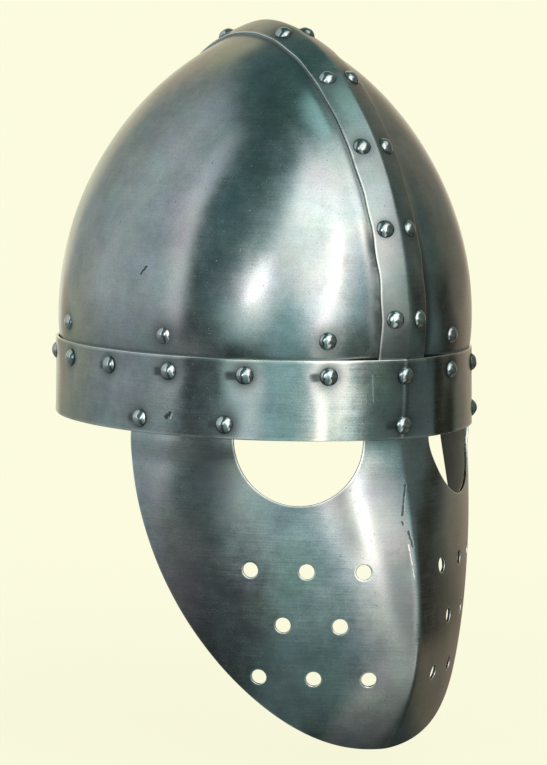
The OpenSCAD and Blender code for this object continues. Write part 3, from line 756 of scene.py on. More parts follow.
def crest_band():
    """A strip across x and along the crest's line, with small dents beside its rivets."""
    s = CREST_S[1:-1]
    rng = np.random.default_rng(11)
    waist = sum(0.11 * np.sin(2 * np.pi * s / rng.uniform(18, 60) + rng.uniform(0, 6))
                for _ in range(4))
    share = np.linspace(-1, 1, CREST_COLUMNS + 1)
    x = share * (CREST_WIDTH / 2 - EDGE_ROUND + waist[:, None])
    grid = crest_surface(x, s[:, None] + 0 * x)
    dents = 0
    for _ in range(CREST_DENTS):
        at, aside = rng.uniform(s[0], s[-1]), rng.choice([-1, 1]) * rng.uniform(8.5, 13)
        size = rng.uniform(2.0, 4.5)
        spread = ((x - aside) ** 2 + (s[:, None] - at) ** 2) / size ** 2
        dents = dents + rng.uniform(0.06, 0.2) * np.exp(-spread)
    grid = grid - grid_normals(grid) * dents[..., None]
    return grid, grid_normals(grid)


def crest_soot_and_shade(points):
    """Dark oil and painted shade round the rivets, and a darkening low in front on the wearer's
    right.
    """
    x, y, z = points.T
    low_front = fades(z, 85, 145) * (y < 0) * fades(x, -3, 2)
    low_front_dark = low_front * (0.25 + 0.4 * fades(z, 50, 90))
    rivets = np.concatenate([CREST_PLACES[side][0] for side in SIDES] + [FRONT_PLACE[0]])
    return np.maximum(0.8 * near(points, rivets, 5.6), low_front_dark)


crest_iron = iron("crest iron", (0.29, 0.33, 0.325), (0.20, 0.235, 0.235), (0.26, 0.25, 0.24),
                  gloss=0.27, brushed=0.12, drawn=0.2)
points, faces, edge, inner = grid_shell(*crest_band())
# Painted highlight along the crest's ridge, with some wear there.
ridge_wear_and_highlight = 0.25 * hill(points[:, 0], 0, 0.8)
add_piece("crest_band", points, faces, crest_iron,
          {"edge": np.maximum(edge, ridge_wear_and_highlight), "soot_and_shade": crest_soot_and_shade(points), "scale": inner})

# The brow band: one iron strip bent round the foot of the skull, with its ends lapped and
# riveted at the back. It is creased over the crest at the front, and its edges are filed.
BAND_COLUMNS, BAND_ROWS, CREASE_HALF, CREASE_COLUMNS = 560, 30, 22, 89
GAPE_TURN, GAPE, GAPE_HALF = np.radians(-122), 1.1, 0.16
DRAWN_IN, DRAWN_ROUND, CREASE_OUT = 0.22, 8, 0.3
PUNCH_TURN, PUNCH_HEIGHT = np.radians(-65.3), 9.6


def brow_band():
    """A strip round the oval and up its height, a little drawn in round each rivet."""
    end = np.pi + LAP_TURN
    turns = np.linspace(-end, end, BAND_COLUMNS)
    fine = np.arcsin(np.linspace(-CREASE_HALF, CREASE_HALF, CREASE_COLUMNS) / BAND_B)
    turns = np.concatenate([turns[np.abs(turns) > fine[-1] + 0.005], fine])
    z = np.linspace(EDGE_ROUND, BAND_HEIGHT - EDGE_ROUND, BAND_ROWS)
    phi, height = np.meshgrid(np.unique(np.round(turns, 6)), z)
    gape = GAPE * hill(phi, GAPE_TURN, GAPE_HALF) * (height / BAND_HEIGHT) ** 3
    grid = band_surface(phi, height, gape)
    drawn = DRAWN_IN * near(grid.reshape(-1, 3), BAND_RIVETS, DRAWN_ROUND).reshape(phi.shape)
    crease = CREASE_OUT * hill(grid[..., 0], 0, 1.0) * (grid[..., 1] < 0)
    lift = waver(grid, size=0.07, wave=34, seed=21) - drawn + crease
    grid = grid + grid_normals(grid) * lift[..., None]
    return grid, grid_normals(grid)


def painted_wedges(points, turns, height, seed):
    """Painted shade: dark wedges beside the heads, all on one side of them, shorter and lower
    outwards.
    """
    rng = np.random.default_rng(seed)
    length = rng.uniform(6.5, 11.5, len(turns))
    turn = np.arctan2(points[:, 0] / BAND_B, -points[:, 1] / BAND_A)
    along = (turns - turn[:, None]) * (BAND_A + BAND_B) / 2
    off = np.abs(points[:, 2:] - height + 0.3) + 0.16 * along
    wedge = np.clip((length - along) / 1.6, 0, 1) * np.clip((4.0 - off) / 1.4, 0, 1)
    return (wedge * (along > -1)).max(1)


def band_soot_and_shade(points):
    """Dark oil and painted shade close round the heads, painted shade in wedges beside them, and a
    painted shadow beside the front crease.
    """
    lower = np.concatenate([-FACE_TURNS, FACE_TURNS, [0]])
    wedges = np.maximum(painted_wedges(points, np.concatenate([-BAND_TURNS, BAND_TURNS]), UPPER_ROW, 5),
                        painted_wedges(points, lower, LOWER_ROW, 6))
    rivets = 1.15 * near(points, np.concatenate([BAND_RIVETS, LAP_PLACE[0]]), 5.8)
    # Painted shadow on one side of the front crease.
    crease_shadow = 0.6 * hill(points[:, 0], 2.0, 1.0) * (points[:, 1] < 0)
    return np.clip(np.maximum(np.maximum(rivets, 0.85 * wedges), crease_shadow), 0, 1)


BAND_RIVETS = np.concatenate([place[0] for place in (*BAND_PLACES.values(), *FACE_PLACES.values(),
                                                     FRONT_PLACE, NOSE_PLACE)])
punch = band_places([PUNCH_TURN, PUNCH_TURN + 0.022, PUNCH_TURN + 0.03], PUNCH_HEIGHT)[0]
band_iron = iron("brow band iron", (0.30, 0.335, 0.33), (0.23, 0.26, 0.26), (0.28, 0.26, 0.265),
                 gloss=0.19, brushed=0.14, drawn=0.4,
                 dark_scores=[(punch[0] - [0, 0, 0.9], punch[1] + [0, 0, 0.6], 1.5)],
                 bright_scores=[((-17.3, -117.3, 31.5), (-16.8, -117.7, 18.5), 0.45),
                                (punch[1] - [0, 0, 1.6], punch[2] + [0, 0, 1.0], 0.5)])
points, faces, edge, inner = grid_shell(*brow_band())
# Painted highlight along the front crease, with some wear there.
crease_wear_and_highlight = 0.6 * hill(points[:, 0], -0.3, 0.6) * (points[:, 1] < 0)
add_piece("brow_band", points, faces, band_iron,
          {"edge": np.maximum(edge, crease_wear_and_highlight), "soot_and_shade": band_soot_and_shade(points), "scale": inner})

# The face plate: one iron sheet raised to a keel down the middle, tucked up inside the brow
# band. The eye openings are sawn and filed, and the breath holes drilled and cleaned.
FACE_DEPTH, FACE_TUCK, FACE_WRAP = 154, 14, np.radians(77.3)
FACE_DRAW_FRONT, FACE_DRAW_SIDE, FACE_DRAW_RUN = 2.7, 0.8, 16
FACE_SPREAD, FACE_CLOSE, CHIN_CLOSE, FACE_UNIT = 20, 30, 12.5, 150
KEEL_TOP, KEEL_SWELL, KEEL_TUCK, KEEL_PEAK = 1.4, 17.7, 26.5, 95
KEEL_NARROW, KEEL_WIDE, KEEL_ROUND = 40, 98, 1.1
JAW_SIDE, JAW_DOWN = 2.28, 1.4
EYE_R, EYE_TURN, EYE_SHIFT = 31.4, np.radians(35), 18.1
BREATH_R, BREATH_FIRST, BREATH_PITCH, BREATH_SIDES = 3.7, 63, 26.4, 40
BREATH_TURNS = [np.radians(first + 13.8 * np.arange(count))
                for first, count in ((13.6, 3), (19.5, 2), (11.9, 3))]
OUTLINE_STEP, SHEET_STEP, KEEL_COLUMNS, SUPPORT = 1.5, 1.9, 4, 0.7
# The bright reflected streak's line down the face plate, which the painted shade keeps clear.
STREAK_DOWN, STREAK_X = (12, 25, 43, 63, 81, 99), (-22, -25, -22, -18.5, -15.7, -10.5)


def face_oval(phi, w):
    """A point of the face plate at depth w: the band's oval drawn in, with the keel pushed out.

    The push falls off as the square of the distance from the middle, which makes the crease.
    """
    ease, u = 1 - soft(w / FACE_DRAW_RUN), np.maximum(0, w) / FACE_UNIT
    a = SKULL_A + flare(-w) - FACE_DRAW_FRONT * ease - CHIN_CLOSE * u ** 3
    b = SKULL_B + flare(-w) - FACE_DRAW_SIDE * ease + FACE_SPREAD * u - FACE_CLOSE * u * u
    top = SKULL_A + flare(-w) + KEEL_TOP
    swell = KEEL_SWELL * np.sin(np.pi / 2 * np.clip(w / KEEL_PEAK, 0, 1))
    below_peak = np.maximum(0, w - KEEL_PEAK) / (FACE_DEPTH - KEEL_PEAK)
    swell = np.where(w < KEEL_PEAK, swell, KEEL_SWELL - KEEL_TUCK * below_peak ** 2)
    x = b * np.sin(phi)
    breadth = KEEL_NARROW + (KEEL_WIDE - KEEL_NARROW) * ease
    aside = np.sqrt(x * x + KEEL_ROUND ** 2) - KEEL_ROUND * 0.6
    push = (top + swell - a) * np.maximum(0, 1 - aside / breadth) ** 2
    return np.stack([x, -a * np.cos(phi) - push, -w + 0 * phi], -1)


def jaw(w):
    """The free edge's angle from the front at each depth."""
    share = np.maximum(0, w) / FACE_DEPTH
    return FACE_WRAP * np.maximum(0, 1 - share ** JAW_DOWN) ** (1 / JAW_SIDE)


def face_normal(phi, w):
    """The way out of the face plate, from short steps round it and down it."""
    return unit(np.cross(face_oval(phi + 0.004, w) - face_oval(phi - 0.004, w),
                         face_oval(phi, w - 0.4) - face_oval(phi, w + 0.4)))


def face_solve(phi, w, wanted):
    """Moves angles and depths until their points match wanted ones, by least squares."""
    for _ in range(6):
        p = face_oval(phi, w)
        along = (face_oval(phi + 1e-4, w) - p) / 1e-4
        down = (face_oval(phi, w + 1e-3) - p) / 1e-3
        miss = wanted - p
        aa, ad, dd = (along * along).sum(-1), (along * down).sum(-1), (down * down).sum(-1)
        ma, md = (miss * along).sum(-1), (miss * down).sum(-1)
        scale = aa * dd - ad * ad
        phi, w = phi + (ma * dd - md * ad) / scale, w + (md * aa - ma * ad) / scale
    return phi, w


def eye_curve(theta):
    """The left eye opening's edge: a round saw cut along one level line, met with the plate.

    Its distance across that line is halved in on, and its depth follows the circle.
    """
    across = -EYE_SHIFT + EYE_R * np.cos(theta)
    w = EYE_R * np.sin(theta)
    low, high = np.full(theta.shape, -0.3), np.full(theta.shape, 1.6)
    for _ in range(40):
        phi = (low + high) / 2
        p = face_oval(phi, w)
        short = p[:, 0] * np.cos(EYE_TURN) + p[:, 1] * np.sin(EYE_TURN) < across
        low, high = np.where(short, phi, low), np.where(short, high, phi)
    return np.stack([phi, w])


def face_outline():
    """The plate's outline as angles and depths, anticlockwise from outside.

    It goes by the jaw from the chin up to the left, along the top, round the left eye opening
    and to the nose, and then the same way back on the right.
    """
    w = FACE_DEPTH * np.sin(np.linspace(0, np.pi / 2, 200)) ** (2 / JAW_DOWN)
    left = np.stack([jaw(w)[::-1], w[::-1]])
    up_left = np.stack([np.full(8, FACE_WRAP), np.linspace(0, -FACE_TUCK, 9)[1:]])
    eye = eye_curve(np.linspace(0, np.pi, 120))
    outer, nose = eye_curve(np.array([0.0, np.pi]))[0]
    top_left = np.array([[outer, outer], [-FACE_TUCK, -FACE_TUCK / 2]])
    nose_left = np.array([[nose, nose], [-FACE_TUCK / 2, -FACE_TUCK]])
    half = np.concatenate([left[:, :-1], up_left, top_left, eye, nose_left], 1)
    return np.concatenate([half, half[:, ::-1] * [[-1], [1]]], 1)


def even_line(line):
    """Resamples a line on the plate at even steps along its true length."""
    run = length_along(face_oval(*line))
    s = np.linspace(0, run[-1], max(8, int(round(run[-1] / OUTLINE_STEP))) + 1)
    return np.stack([np.interp(s, run, values) for values in line])


def corner_loop(line):
    """Resamples the outline between its sharp corners, which keeps them."""
    p = face_oval(*line)
    way = unit(np.roll(p, -1, 0) - p)
    corners = np.flatnonzero((way * np.roll(way, 1, 0)).sum(-1) < 0.8)
    count = line.shape[1]
    parts = []
    for a, b in zip(corners, np.roll(corners, -1)):
        index = np.arange(a, b + 1 if b > a else b + 1 + count) % count
        parts.append(even_line(line[:, index])[:, :-1])
    return np.concatenate(parts, 1)


def inset(loop, amount):
    """Moves a loop's points into the plate, away from its edge."""
    p = face_oval(*loop)
    before, after = unit(p - np.roll(p, 1, 0)), unit(np.roll(p, -1, 0) - p)
    out = unit(np.cross(unit(before + after), face_normal(*loop)))
    sharp = np.sqrt(np.clip((1 + (before * after).sum(-1)) / 2, 0.3, 1))
    return np.stack(face_solve(*loop, p - out * (amount / sharp)[:, None]))


def in_plate(points, loops):
    """Whether flat points lie in the outline and out of every hole, by counting crossings."""
    inside = np.zeros(len(points), bool)
    for loop in loops:
        a, b = loop, np.roll(loop, -1, 0)
        for chunk in np.array_split(np.arange(len(points)), 24):
            x, y = points[chunk, 0][:, None], points[chunk, 1][:, None]
            spans = (a[:, 1] > y) != (b[:, 1] > y)
            with np.errstate(divide="ignore", invalid="ignore"):
                cross = a[:, 0] + (y - a[:, 1]) * (b[:, 0] - a[:, 0]) / (b[:, 1] - a[:, 1])
            inside[chunk] ^= (spans & (x < cross)).sum(1) % 2 == 1
    return inside


def fill(rims, supports, pitch, fine=0):
    """Fills flat loops, the outline first and then its holes, with even triangles.

    Points lie on a square grid inside, closer across the middle if fine is not zero, and on the
    loops and their supports. Returns flat points, triangles and each loop's point numbers.
    """
    low, high = rims[0].min(0), rims[0].max(0)
    columns = np.arange(np.floor(low[0] / pitch), np.ceil(high[0] / pitch) + 1) * pitch
    columns = np.concatenate([columns, np.arange(-fine, fine + 1) * pitch / 3])
    gx, gy = np.meshgrid(np.unique(np.round(columns, 4)), np.arange(low[1], high[1], pitch))
    inside = np.stack([gx.ravel(), gy.ravel()], -1)
    inside = inside[gaps(inside, np.concatenate(rims + supports)) > 0.75 * pitch]
    everything = np.concatenate(rims + supports + [inside])
    sizes = np.cumsum([0] + [len(r) for r in rims])
    spans = list(zip(sizes[:-1], sizes[1:]))
    edges = np.concatenate([np.stack([np.arange(lo, hi), np.roll(np.arange(lo, hi), -1)], -1)
                            for lo, hi in spans])
    filled = delaunay_2d_cdt([Vector(p) for p in everything.tolist()], edges.tolist(), [], 0, 1e-5)
    where = np.array([v[:] for v in filled[0]])
    origin = np.array([ids[0] if ids else -1 for ids in filled[3]])
    triangles = np.array(filled[2])
    triangles = triangles[in_plate(where[triangles].mean(1), rims)]
    used, back = np.unique(triangles, return_inverse=True)
    place = np.full(len(everything), -1)
    place[origin[used]] = np.arange(len(used))
    return where[used], back.reshape(-1, 3), [place[lo:hi] for lo, hi in spans]


def circle(count):
    """Even turns round a circle, the first one nothing."""
    return np.linspace(0, 2 * np.pi, count + 1)[:-1]


def breath_hole(phi, w):
    """A drilled hole's edge: a circle about the way out, its angles and depths solved for."""
    phi, w = np.array([phi]), np.array([w])
    n = face_normal(phi, w)
    level = unit(np.cross([[0, 0, 1.0]], n))
    theta = -circle(BREATH_SIDES)[:, None]
    aside = np.cos(theta) * level + np.sin(theta) * np.cross(n, level)
    ring = face_oval(phi, w) + BREATH_R * aside
    return np.stack(face_solve(phi.repeat(BREATH_SIDES), w.repeat(BREATH_SIDES), ring))


def face_plate():
    """The outline and its holes, filled on a flat map of millimetres round against down."""
    loops = [corner_loop(face_outline())]
    loops += [breath_hole(side * turn, float(BREATH_FIRST + BREATH_PITCH * row)) for side in SIDES
              for row, turns in enumerate(BREATH_TURNS) for turn in turns]
    rims, supports = ([inset(loop, by) for loop in loops]
                      for by in (EDGE_ROUND, EDGE_ROUND + SUPPORT))
    rims, supports = ([line.T * [SKULL_B, -1] for line in lines] for lines in (rims, supports))
    where, triangles, index = fill(rims, supports, SHEET_STEP, KEEL_COLUMNS)
    return where[:, 0] / SKULL_B, -where[:, 1], triangles, index


def rises(x, start, end):
    """Nothing up to the start, one past the end, and half a wave between."""
    return soft((end - x) / (end - start))


def face_shade(points):
    """Painted shade on both sides of a bright reflected streak, which narrows it, and a painted
    shadow under the brow band on the wearer's right.
    """
    x, depth = points[:, 0], -points[:, 2]
    aside = x - np.interp(depth, STREAK_DOWN, STREAK_X)
    lower = rises(depth, 10, 18)
    left = 0.5 * (aside < 0) * (1 - hill(aside, 0, 4)) * fades(-aside, 7, 16)
    left = left * fades(depth, 46, 62) * lower
    right = (aside > 0) * (1 - hill(aside, 0, 4.5)) * (0.36 + 0.2 * rises(depth, 40, 58))
    right = right * fades(depth, 92, 116) * fades(x, -3.5, -1) * lower
    # Painted shadow under the brow band.
    band_shadow = 0.4 * hill(x, -75, 9) * hill(depth, 14, 13)
    return np.maximum(np.maximum(left, right), band_shadow)


def on_face(turn, w):
    """A point of the face plate by degrees round and millimetres down."""
    return face_oval(np.radians(turn), float(w))


phi, w, triangles, loops = face_plate()
points, normals = face_oval(phi, w), face_normal(phi, w)
points = points + normals * waver(points, size=0.06, wave=40, seed=5)[:, None]
points, faces, edge, inner = plate_shell(points, normals, triangles, loops)
# Painted highlight along the keel, with some wear there; brighter lower down.
keel_wear_and_highlight = 0.8 * hill(points[:, 0], -0.4, 0.7) * np.clip((-40 - points[:, 2]) / 25, 0.15, 1)
face_iron = iron("face plate iron", (0.31, 0.345, 0.34), (0.23, 0.255, 0.255), (0.28, 0.26, 0.26),
                 gloss=0.24, brushed=0.17, drawn=0.5,
                 dark_scores=[(on_face(-0.8, 22), on_face(-2.7, 36), 0.7),
                              (on_face(-2.9, 39), on_face(-2.8, 40.5), 0.7),
                              (on_face(-1.5, 44), on_face(-0.7, 51), 0.8)],
                 bright_scores=[(on_face(-1.9, 50), on_face(-1.0, 66), 0.4)])
add_piece("face_plate", points, faces, face_iron,
          {"edge": np.maximum(edge, keel_wear_and_highlight), "soot_and_shade": face_shade(points), "scale": inner})

# The rivets: iron, with domed heads outside, finished with a few light hammer blows and
# polished, and their ends hammered over inside the skull.
HEAD_D, HEAD_H, SHANK_D, TAIL_D, TAIL_H = 8.8, 2.7, 4.0, 6.2, 1.5
HEAD_SUNK, HEAD_SKIRT, HEAD_BLOWS, BLOW_SHARP = 0.2, 0.35, 4, 40
TAIL_GAP, RIDGE_TAIL_GAP, CREST_TAIL_GAP = 0.05, 0.4, 0.1
LEATHER, LINER_GAP, WASHER_GAP, WASHER_T, WASHER_D = 2.4, 0.3, 0.5, 1.0, 11.0
LEATHER_1 = PLATE + LINER_GAP
LEATHER_2 = LEATHER_1 + LEATHER + GAP
WASHER_AT = LEATHER_2 + LEATHER + WASHER_GAP
RIVET_SIDES, HEAD_RINGS = 36, 12


def ball_radius(across, high):
    """The radius of the ball that a cap of some width and height is cut from."""
    return (across ** 2 / 4 + high ** 2) / (2 * high)


def rivet_profile(grip):
    """Half the rivet's outline, head to tail, as (radius, height) above the plate's face."""
    ball, tail_ball = ball_radius(HEAD_D, HEAD_H), ball_radius(TAIL_D, TAIL_H)
    turn = np.linspace(0, np.arccos((ball - HEAD_H + HEAD_SUNK) / ball), HEAD_RINGS + 1)
    head = np.stack([ball * np.sin(turn), HEAD_H - ball + ball * np.cos(turn)], -1)
    turn = np.linspace(np.arccos((tail_ball - TAIL_H) / tail_ball), 0, 7)
    tail = np.stack([tail_ball * np.sin(turn), -grip - TAIL_H + tail_ball * (1 - np.cos(turn))], -1)
    waist = [(HEAD_D / 2, 0.0), (HEAD_D / 2 - 0.05, -HEAD_SKIRT), (SHANK_D / 2, -HEAD_SKIRT),
             (SHANK_D / 2, -grip)]
    return np.concatenate([head, waist, tail])


def hammered(grid, rng):
    """Cuts soft flats into the heads: each direction keeps the nearer of ball and blow."""
    ball, count = ball_radius(HEAD_D, HEAD_H), len(grid)
    centre = np.array([0, 0, HEAD_H - ball])
    far = np.linalg.norm(grid - centre, axis=-1)
    way = (grid - centre) / far[..., None]
    total = 1 / far ** BLOW_SHARP
    for _ in range(HEAD_BLOWS):
        lean, round_ = np.radians(rng.uniform(4, 34, count)), rng.uniform(0, 6.3, count)
        blow = np.stack([np.sin(lean) * np.cos(round_), np.sin(lean) * np.sin(round_),
                         np.cos(lean)], -1)
        toward = np.clip((way * blow[:, None, None, :]).sum(-1), 0.05, 1)
        depth = rng.uniform(0.05, 0.2, count)[:, None, None]
        total = total + (toward / (ball - depth)) ** BLOW_SHARP
    return centre + way * np.minimum(far, total ** (-1 / BLOW_SHARP))[..., None]


def turned(profiles, count):
    """Half outlines, as (radius, height), turned round into rings of points."""
    radius, height, theta = profiles[..., None, 0], profiles[..., None, 1], circle(count)
    return np.stack([radius * np.cos(theta), radius * np.sin(theta), height + 0 * theta], -1)


def stood(grid, places, outward):
    """Upright shapes leant to their ways out, each on its own place.

    A point goes across by two ways square to each other, and out by the third.
    """
    side = unit(np.cross(outward, [0.3, 0.2, 1.0]))
    ways = (side, np.cross(outward, side), outward)
    return places[:, None, None] + sum(grid[..., k:k + 1] * way[:, None, None]
                                       for k, way in enumerate(ways))


def add_rivets(node, places, outward, grips, seed):
    """Turns the outline round, sizes each head a little, and stands each rivet on its place."""
    rng = np.random.default_rng(seed)
    count = len(places)
    profiles = np.stack([rivet_profile(grip) for grip in np.broadcast_to(grips, count)])
    grid = turned(profiles, RIVET_SIDES)
    head = slice(0, HEAD_RINGS + 1)
    grid[:, head] = hammered(grid[:, head], rng)
    grid[:, head, :, :2] *= 1 + 0.025 * rng.normal(size=(count, 1, 1, 1)).clip(-1, 1)
    # Painted shade round the foot of each head, where it meets the plate.
    soot_and_shade = 0.9 * hill(grid[..., 2].ravel(), 0, 0.35)
    grid = stood(grid, places, outward)
    ids = np.arange(grid[..., 0].size).reshape(grid.shape[:3])
    nxt = np.roll(ids, -1, 2)
    quads = np.stack([ids[:, 1:-2], ids[:, 2:-1], nxt[:, 2:-1], nxt[:, 1:-2]], -1)
    top, tail = (ids[:, end, :1].repeat(RIVET_SIDES, 1) for end in (0, -1))
    caps = np.stack([np.stack([top, ids[:, 1], nxt[:, 1]], -1),
                     np.stack([tail, nxt[:, -2], ids[:, -2]], -1)])
    used, back = np.unique(np.concatenate([quads.ravel(), caps.ravel()]), return_inverse=True)
    back = back.ravel()
    faces = back[:quads.size].reshape(-1, 4).tolist() + back[quads.size:].reshape(-1, 3).tolist()
    add_piece(node, grid.reshape(-1, 3)[used], faces, rivet_iron,
              {"edge": np.zeros(len(used)), "soot_and_shade": soot_and_shade[used]})


def grip_to(under, places, tail_gap=TAIL_GAP):
    """How much a rivet holds: from its place in to a point of the inner face under it."""
    return ((places[0] - under) * places[1]).sum(-1) + tail_gap


def under_skull(turns):
    """The skull's inner face under the brow band's upper rivets."""
    return skull_surface(turns, np.full(len(turns), UPPER_ROW), -PLATE)


def under_face(turns):
    """The face plate's inner face under the brow band's lower rivets."""
    w = np.full(len(turns), -LOWER_ROW)
    return face_oval(turns, w) - face_normal(turns, w) * PLATE


rivet_iron = iron("rivet iron", (0.40, 0.435, 0.43), (0.27, 0.31, 0.305), (0.34, 0.31, 0.30),
                  gloss=0.13, brushed=0.05, warm_share=0.4)
front = np.array([0.0])
add_rivets("brow_rivet_front", *FRONT_PLACE,
           grip_to(under_skull(front), FRONT_PLACE, RIDGE_TAIL_GAP), seed=31)
add_rivets("face_rivet_front", *NOSE_PLACE, grip_to(under_face(front), NOSE_PLACE), seed=32)
add_rivets("band_lap_rivet", *LAP_PLACE, LAYER + PLATE + TAIL_GAP, seed=33)
for side, word in zip(SIDES, ("right", "left")):
    add_rivets(f"brow_rivets_{word}", *BAND_PLACES[side],
               grip_to(under_skull(side * BAND_TURNS), BAND_PLACES[side]), seed=40 + side)
    add_rivets(f"face_rivets_{word}", *FACE_PLACES[side],
               grip_to(under_face(side * FACE_TURNS), FACE_PLACES[side]), seed=50 + side)
    add_rivets(f"crest_rivets_{word}", *CREST_PLACES[side], LAYER + PLATE + CREST_TAIL_GAP,
               seed=60 + side)
liner_points, liner_out = (np.concatenate([LINER_PLACES[1][k], LINER_PLACES[-1][k]])
                           for k in (0, 1))
add_rivets("liner_rivets", liner_points, liner_out, WASHER_AT + WASHER_T + TAIL_GAP, seed=70)

# The washers: punched iron discs under the liner rivets' hammered ends, so that the leather
# holds. They lie inside the helmet against the tongues.
WASHER_SIDES, WASHER_ROUND, WASHER_PLAY = 40, 0.25, 0.1


def washers():
    """A flat ring with rounded corners, turned round and laid under each liner rivet."""
    inner, outer, r = SHANK_D / 2 + WASHER_PLAY, WASHER_D / 2, WASHER_ROUND
    top, low, cut = -WASHER_AT, -WASHER_AT - WASHER_T, WASHER_ROUND * 0.3
    profile = np.array([(inner + r, top), (outer - r, top), (outer - cut, top - cut),
                        (outer, top - r), (outer, low + r), (outer - cut, low + cut),
                        (outer - r, low), (inner + r, low), (inner + cut, low + cut),
                        (inner, low + r), (inner, top - r), (inner + cut, top - cut)])
    points = stood(turned(profile[None], WASHER_SIDES), liner_points, liner_out)
    ids = np.arange(points[..., 0].size).reshape(points.shape[:3])
    down, on = np.roll(ids, -1, 1), np.roll(ids, -1, 2)
    faces = np.stack([ids, down, np.roll(down, -1, 2), on], -1).reshape(-1, 4)
    return points.reshape(-1, 3), faces.tolist()


washer_iron = iron("washer iron", (0.33, 0.35, 0.34), (0.20, 0.21, 0.21), (0.30, 0.22, 0.16),
                   gloss=0.34, brushed=0.1)
points, faces = washers()
add_piece("liner_washers", points, faces, washer_iron,
          {"edge": np.zeros(len(points)), "soot_and_shade": np.full(len(points), 0.15)})

# The leather band of the liner: one strap of thick tanned hide round the inside of the skull,
# just over the brow band, with its ends meeting at the back. Its edges are rubbed round.
LINER_WIDTH, LINER_LENGTH, LINER_DROP, LINER_END = 22, 657, 0.45, np.radians(0.4)
LINER_COLUMNS, LINER_ROWS, BAND_THIN, TONGUE_THIN = 420, 16, 0.1, 0.2
LINER_LOW, BEND_Z = LINER_ROW - LINER_WIDTH * LINER_DROP, LINER_ROW + LINER_WIDTH * (1 - LINER_DROP)
LEATHER_ROUND = 0.7
TONGUE_TOP, TONGUE_CLOSE = 152, 0.2
ARCH_HEIGHT = (TONGUE_TOP - BEND_Z) / np.sqrt(1 - TONGUE_CLOSE ** 2)


def hide(name, colour, deep, rubbed):
    """Tanned leather: blotched colour, fine pores, faint creases, dark rubbed edges.

    The mark edge is one on the cut edge, and the mark rub is one beside it and at the rivets.
    """
    material = bpy.data.materials.new(name)
    tree = cleared(material)
    coords = made(tree, "TexCoord", output="Object")
    stretched = made(tree, "Mapping", {"Vector": coords, "Scale": (1, 1, 2.6)})
    cells, creases = (made(tree, "TexVoronoi", {"Vector": vector, "Scale": scale},
                           "Distance", feature="DISTANCE_TO_EDGE")
                      for vector, scale in ((coords, 900.0), (stretched, 130.0)))
    blotch = grain(coords, 22, 4, 0.6)
    mottle = grain(coords, 160, 3, 0.6, shift=0.4)
    crease = below(creases, 0.0, 0.06)
    edge = mark_of(tree, "edge")
    dark = most(mark_of(tree, "rub") * ranged(blotch, 0.3, 0.6, 0.35, 0.8), edge * 0.75)
    dark = most(dark, crease * 0.3)
    tone = mix(ranged(blotch, 0.32, 0.68), colour, deep)
    tone = layered(tone, (ranged(mottle, 0.3, 0.75, 0, 0.35), rubbed),
                   (dark, (0.045, 0.022, 0.012)))
    rough = ranged(mottle, 0.3, 0.7, 0.5, 0.64) + edge * -0.18
    relief = ranged(cells, 0.0, 0.18) + mottle * 1.2 - crease * 1.5
    bump = made(tree, "Bump", {"Height": relief, "Distance": 0.00012, "Strength": 0.7})
    surface = made(tree, "BsdfPrincipled", {"Base Color": tone, "Roughness": rough,
                                            "Normal": bump, "Specular IOR Level": 0.4})
    made(tree, "OutputMaterial", {"Surface": surface})
    return material


def lining(phi, z, off):
    """A point under the skull: along its wall up to the bend, then arching inwards."""
    wall = oval(phi, np.minimum(z, BEND_Z))
    n = skull_normal(phi, np.minimum(z, BEND_Z))
    bent = wall - n * LEATHER_2
    u = np.clip((z - BEND_Z) / ARCH_HEIGHT, 0, 1)
    f = np.sqrt(1 - u * u)
    x, y = bent[..., 0] * f, bent[..., 1] * f
    arch = np.stack([x, y, z + 0 * phi], -1)
    arch_n = unit(np.stack([x, y, np.linalg.norm(bent[..., :2], axis=-1) * u], -1))
    low = (z <= BEND_Z) | (u == 0)
    return np.where(low[..., None], wall - n * off, arch - arch_n * (off - LEATHER_2))


def liner_strap():
    """A strip round the inside of the skull and up its width, a little uneven."""
    end, short = np.pi - LINER_END, LEATHER_ROUND / BAND_A
    turns = np.linspace(-end, end, LINER_COLUMNS)
    turns[[0, -1]] += [short, -short]
    z = np.linspace(LINER_LOW + LEATHER_ROUND, BEND_Z - LEATHER_ROUND, LINER_ROWS)
    phi, z = np.meshgrid(turns, z)
    grid = lining(phi, z, LEATHER_1)
    normals = grid_normals(grid)
    grid = grid - normals * (0.12 + waver(grid, size=0.07, wave=30, seed=51))[..., None]
    return grid_shell(grid, normals, LEATHER - BAND_THIN, LEATHER_ROUND)


hide_brown = hide("liner leather", (0.36, 0.19, 0.09), (0.24, 0.12, 0.055), (0.42, 0.26, 0.15))
points, faces, edge, inner = liner_strap()
rub = np.maximum(hill(points[:, 2], BEND_Z, 1.6), hill(points[:, 2], LINER_LOW, 1.6))
strap = add_piece("liner_band", points, faces, hide_brown,
                  {"edge": edge, "rub": np.maximum(rub, near(points, liner_points, 9))})

# The eight leather tongues: cut from the same hide, riveted over the band, bent in to cradle
# the head, and narrowed to tips with a hole for the lace that draws them together.
TONGUE_FOOT, TONGUE_TURN, TONGUE_WAIST, TONGUE_CORNER, TONGUE_TIP = 8, np.radians(19), 0.3, 7.0, 1.3
TONGUE_STEP, TONGUE_PITCH = 1.6, 2.4
LACE_INSET, LACE_R, LACE_SIDES = 8, 2.5, 24


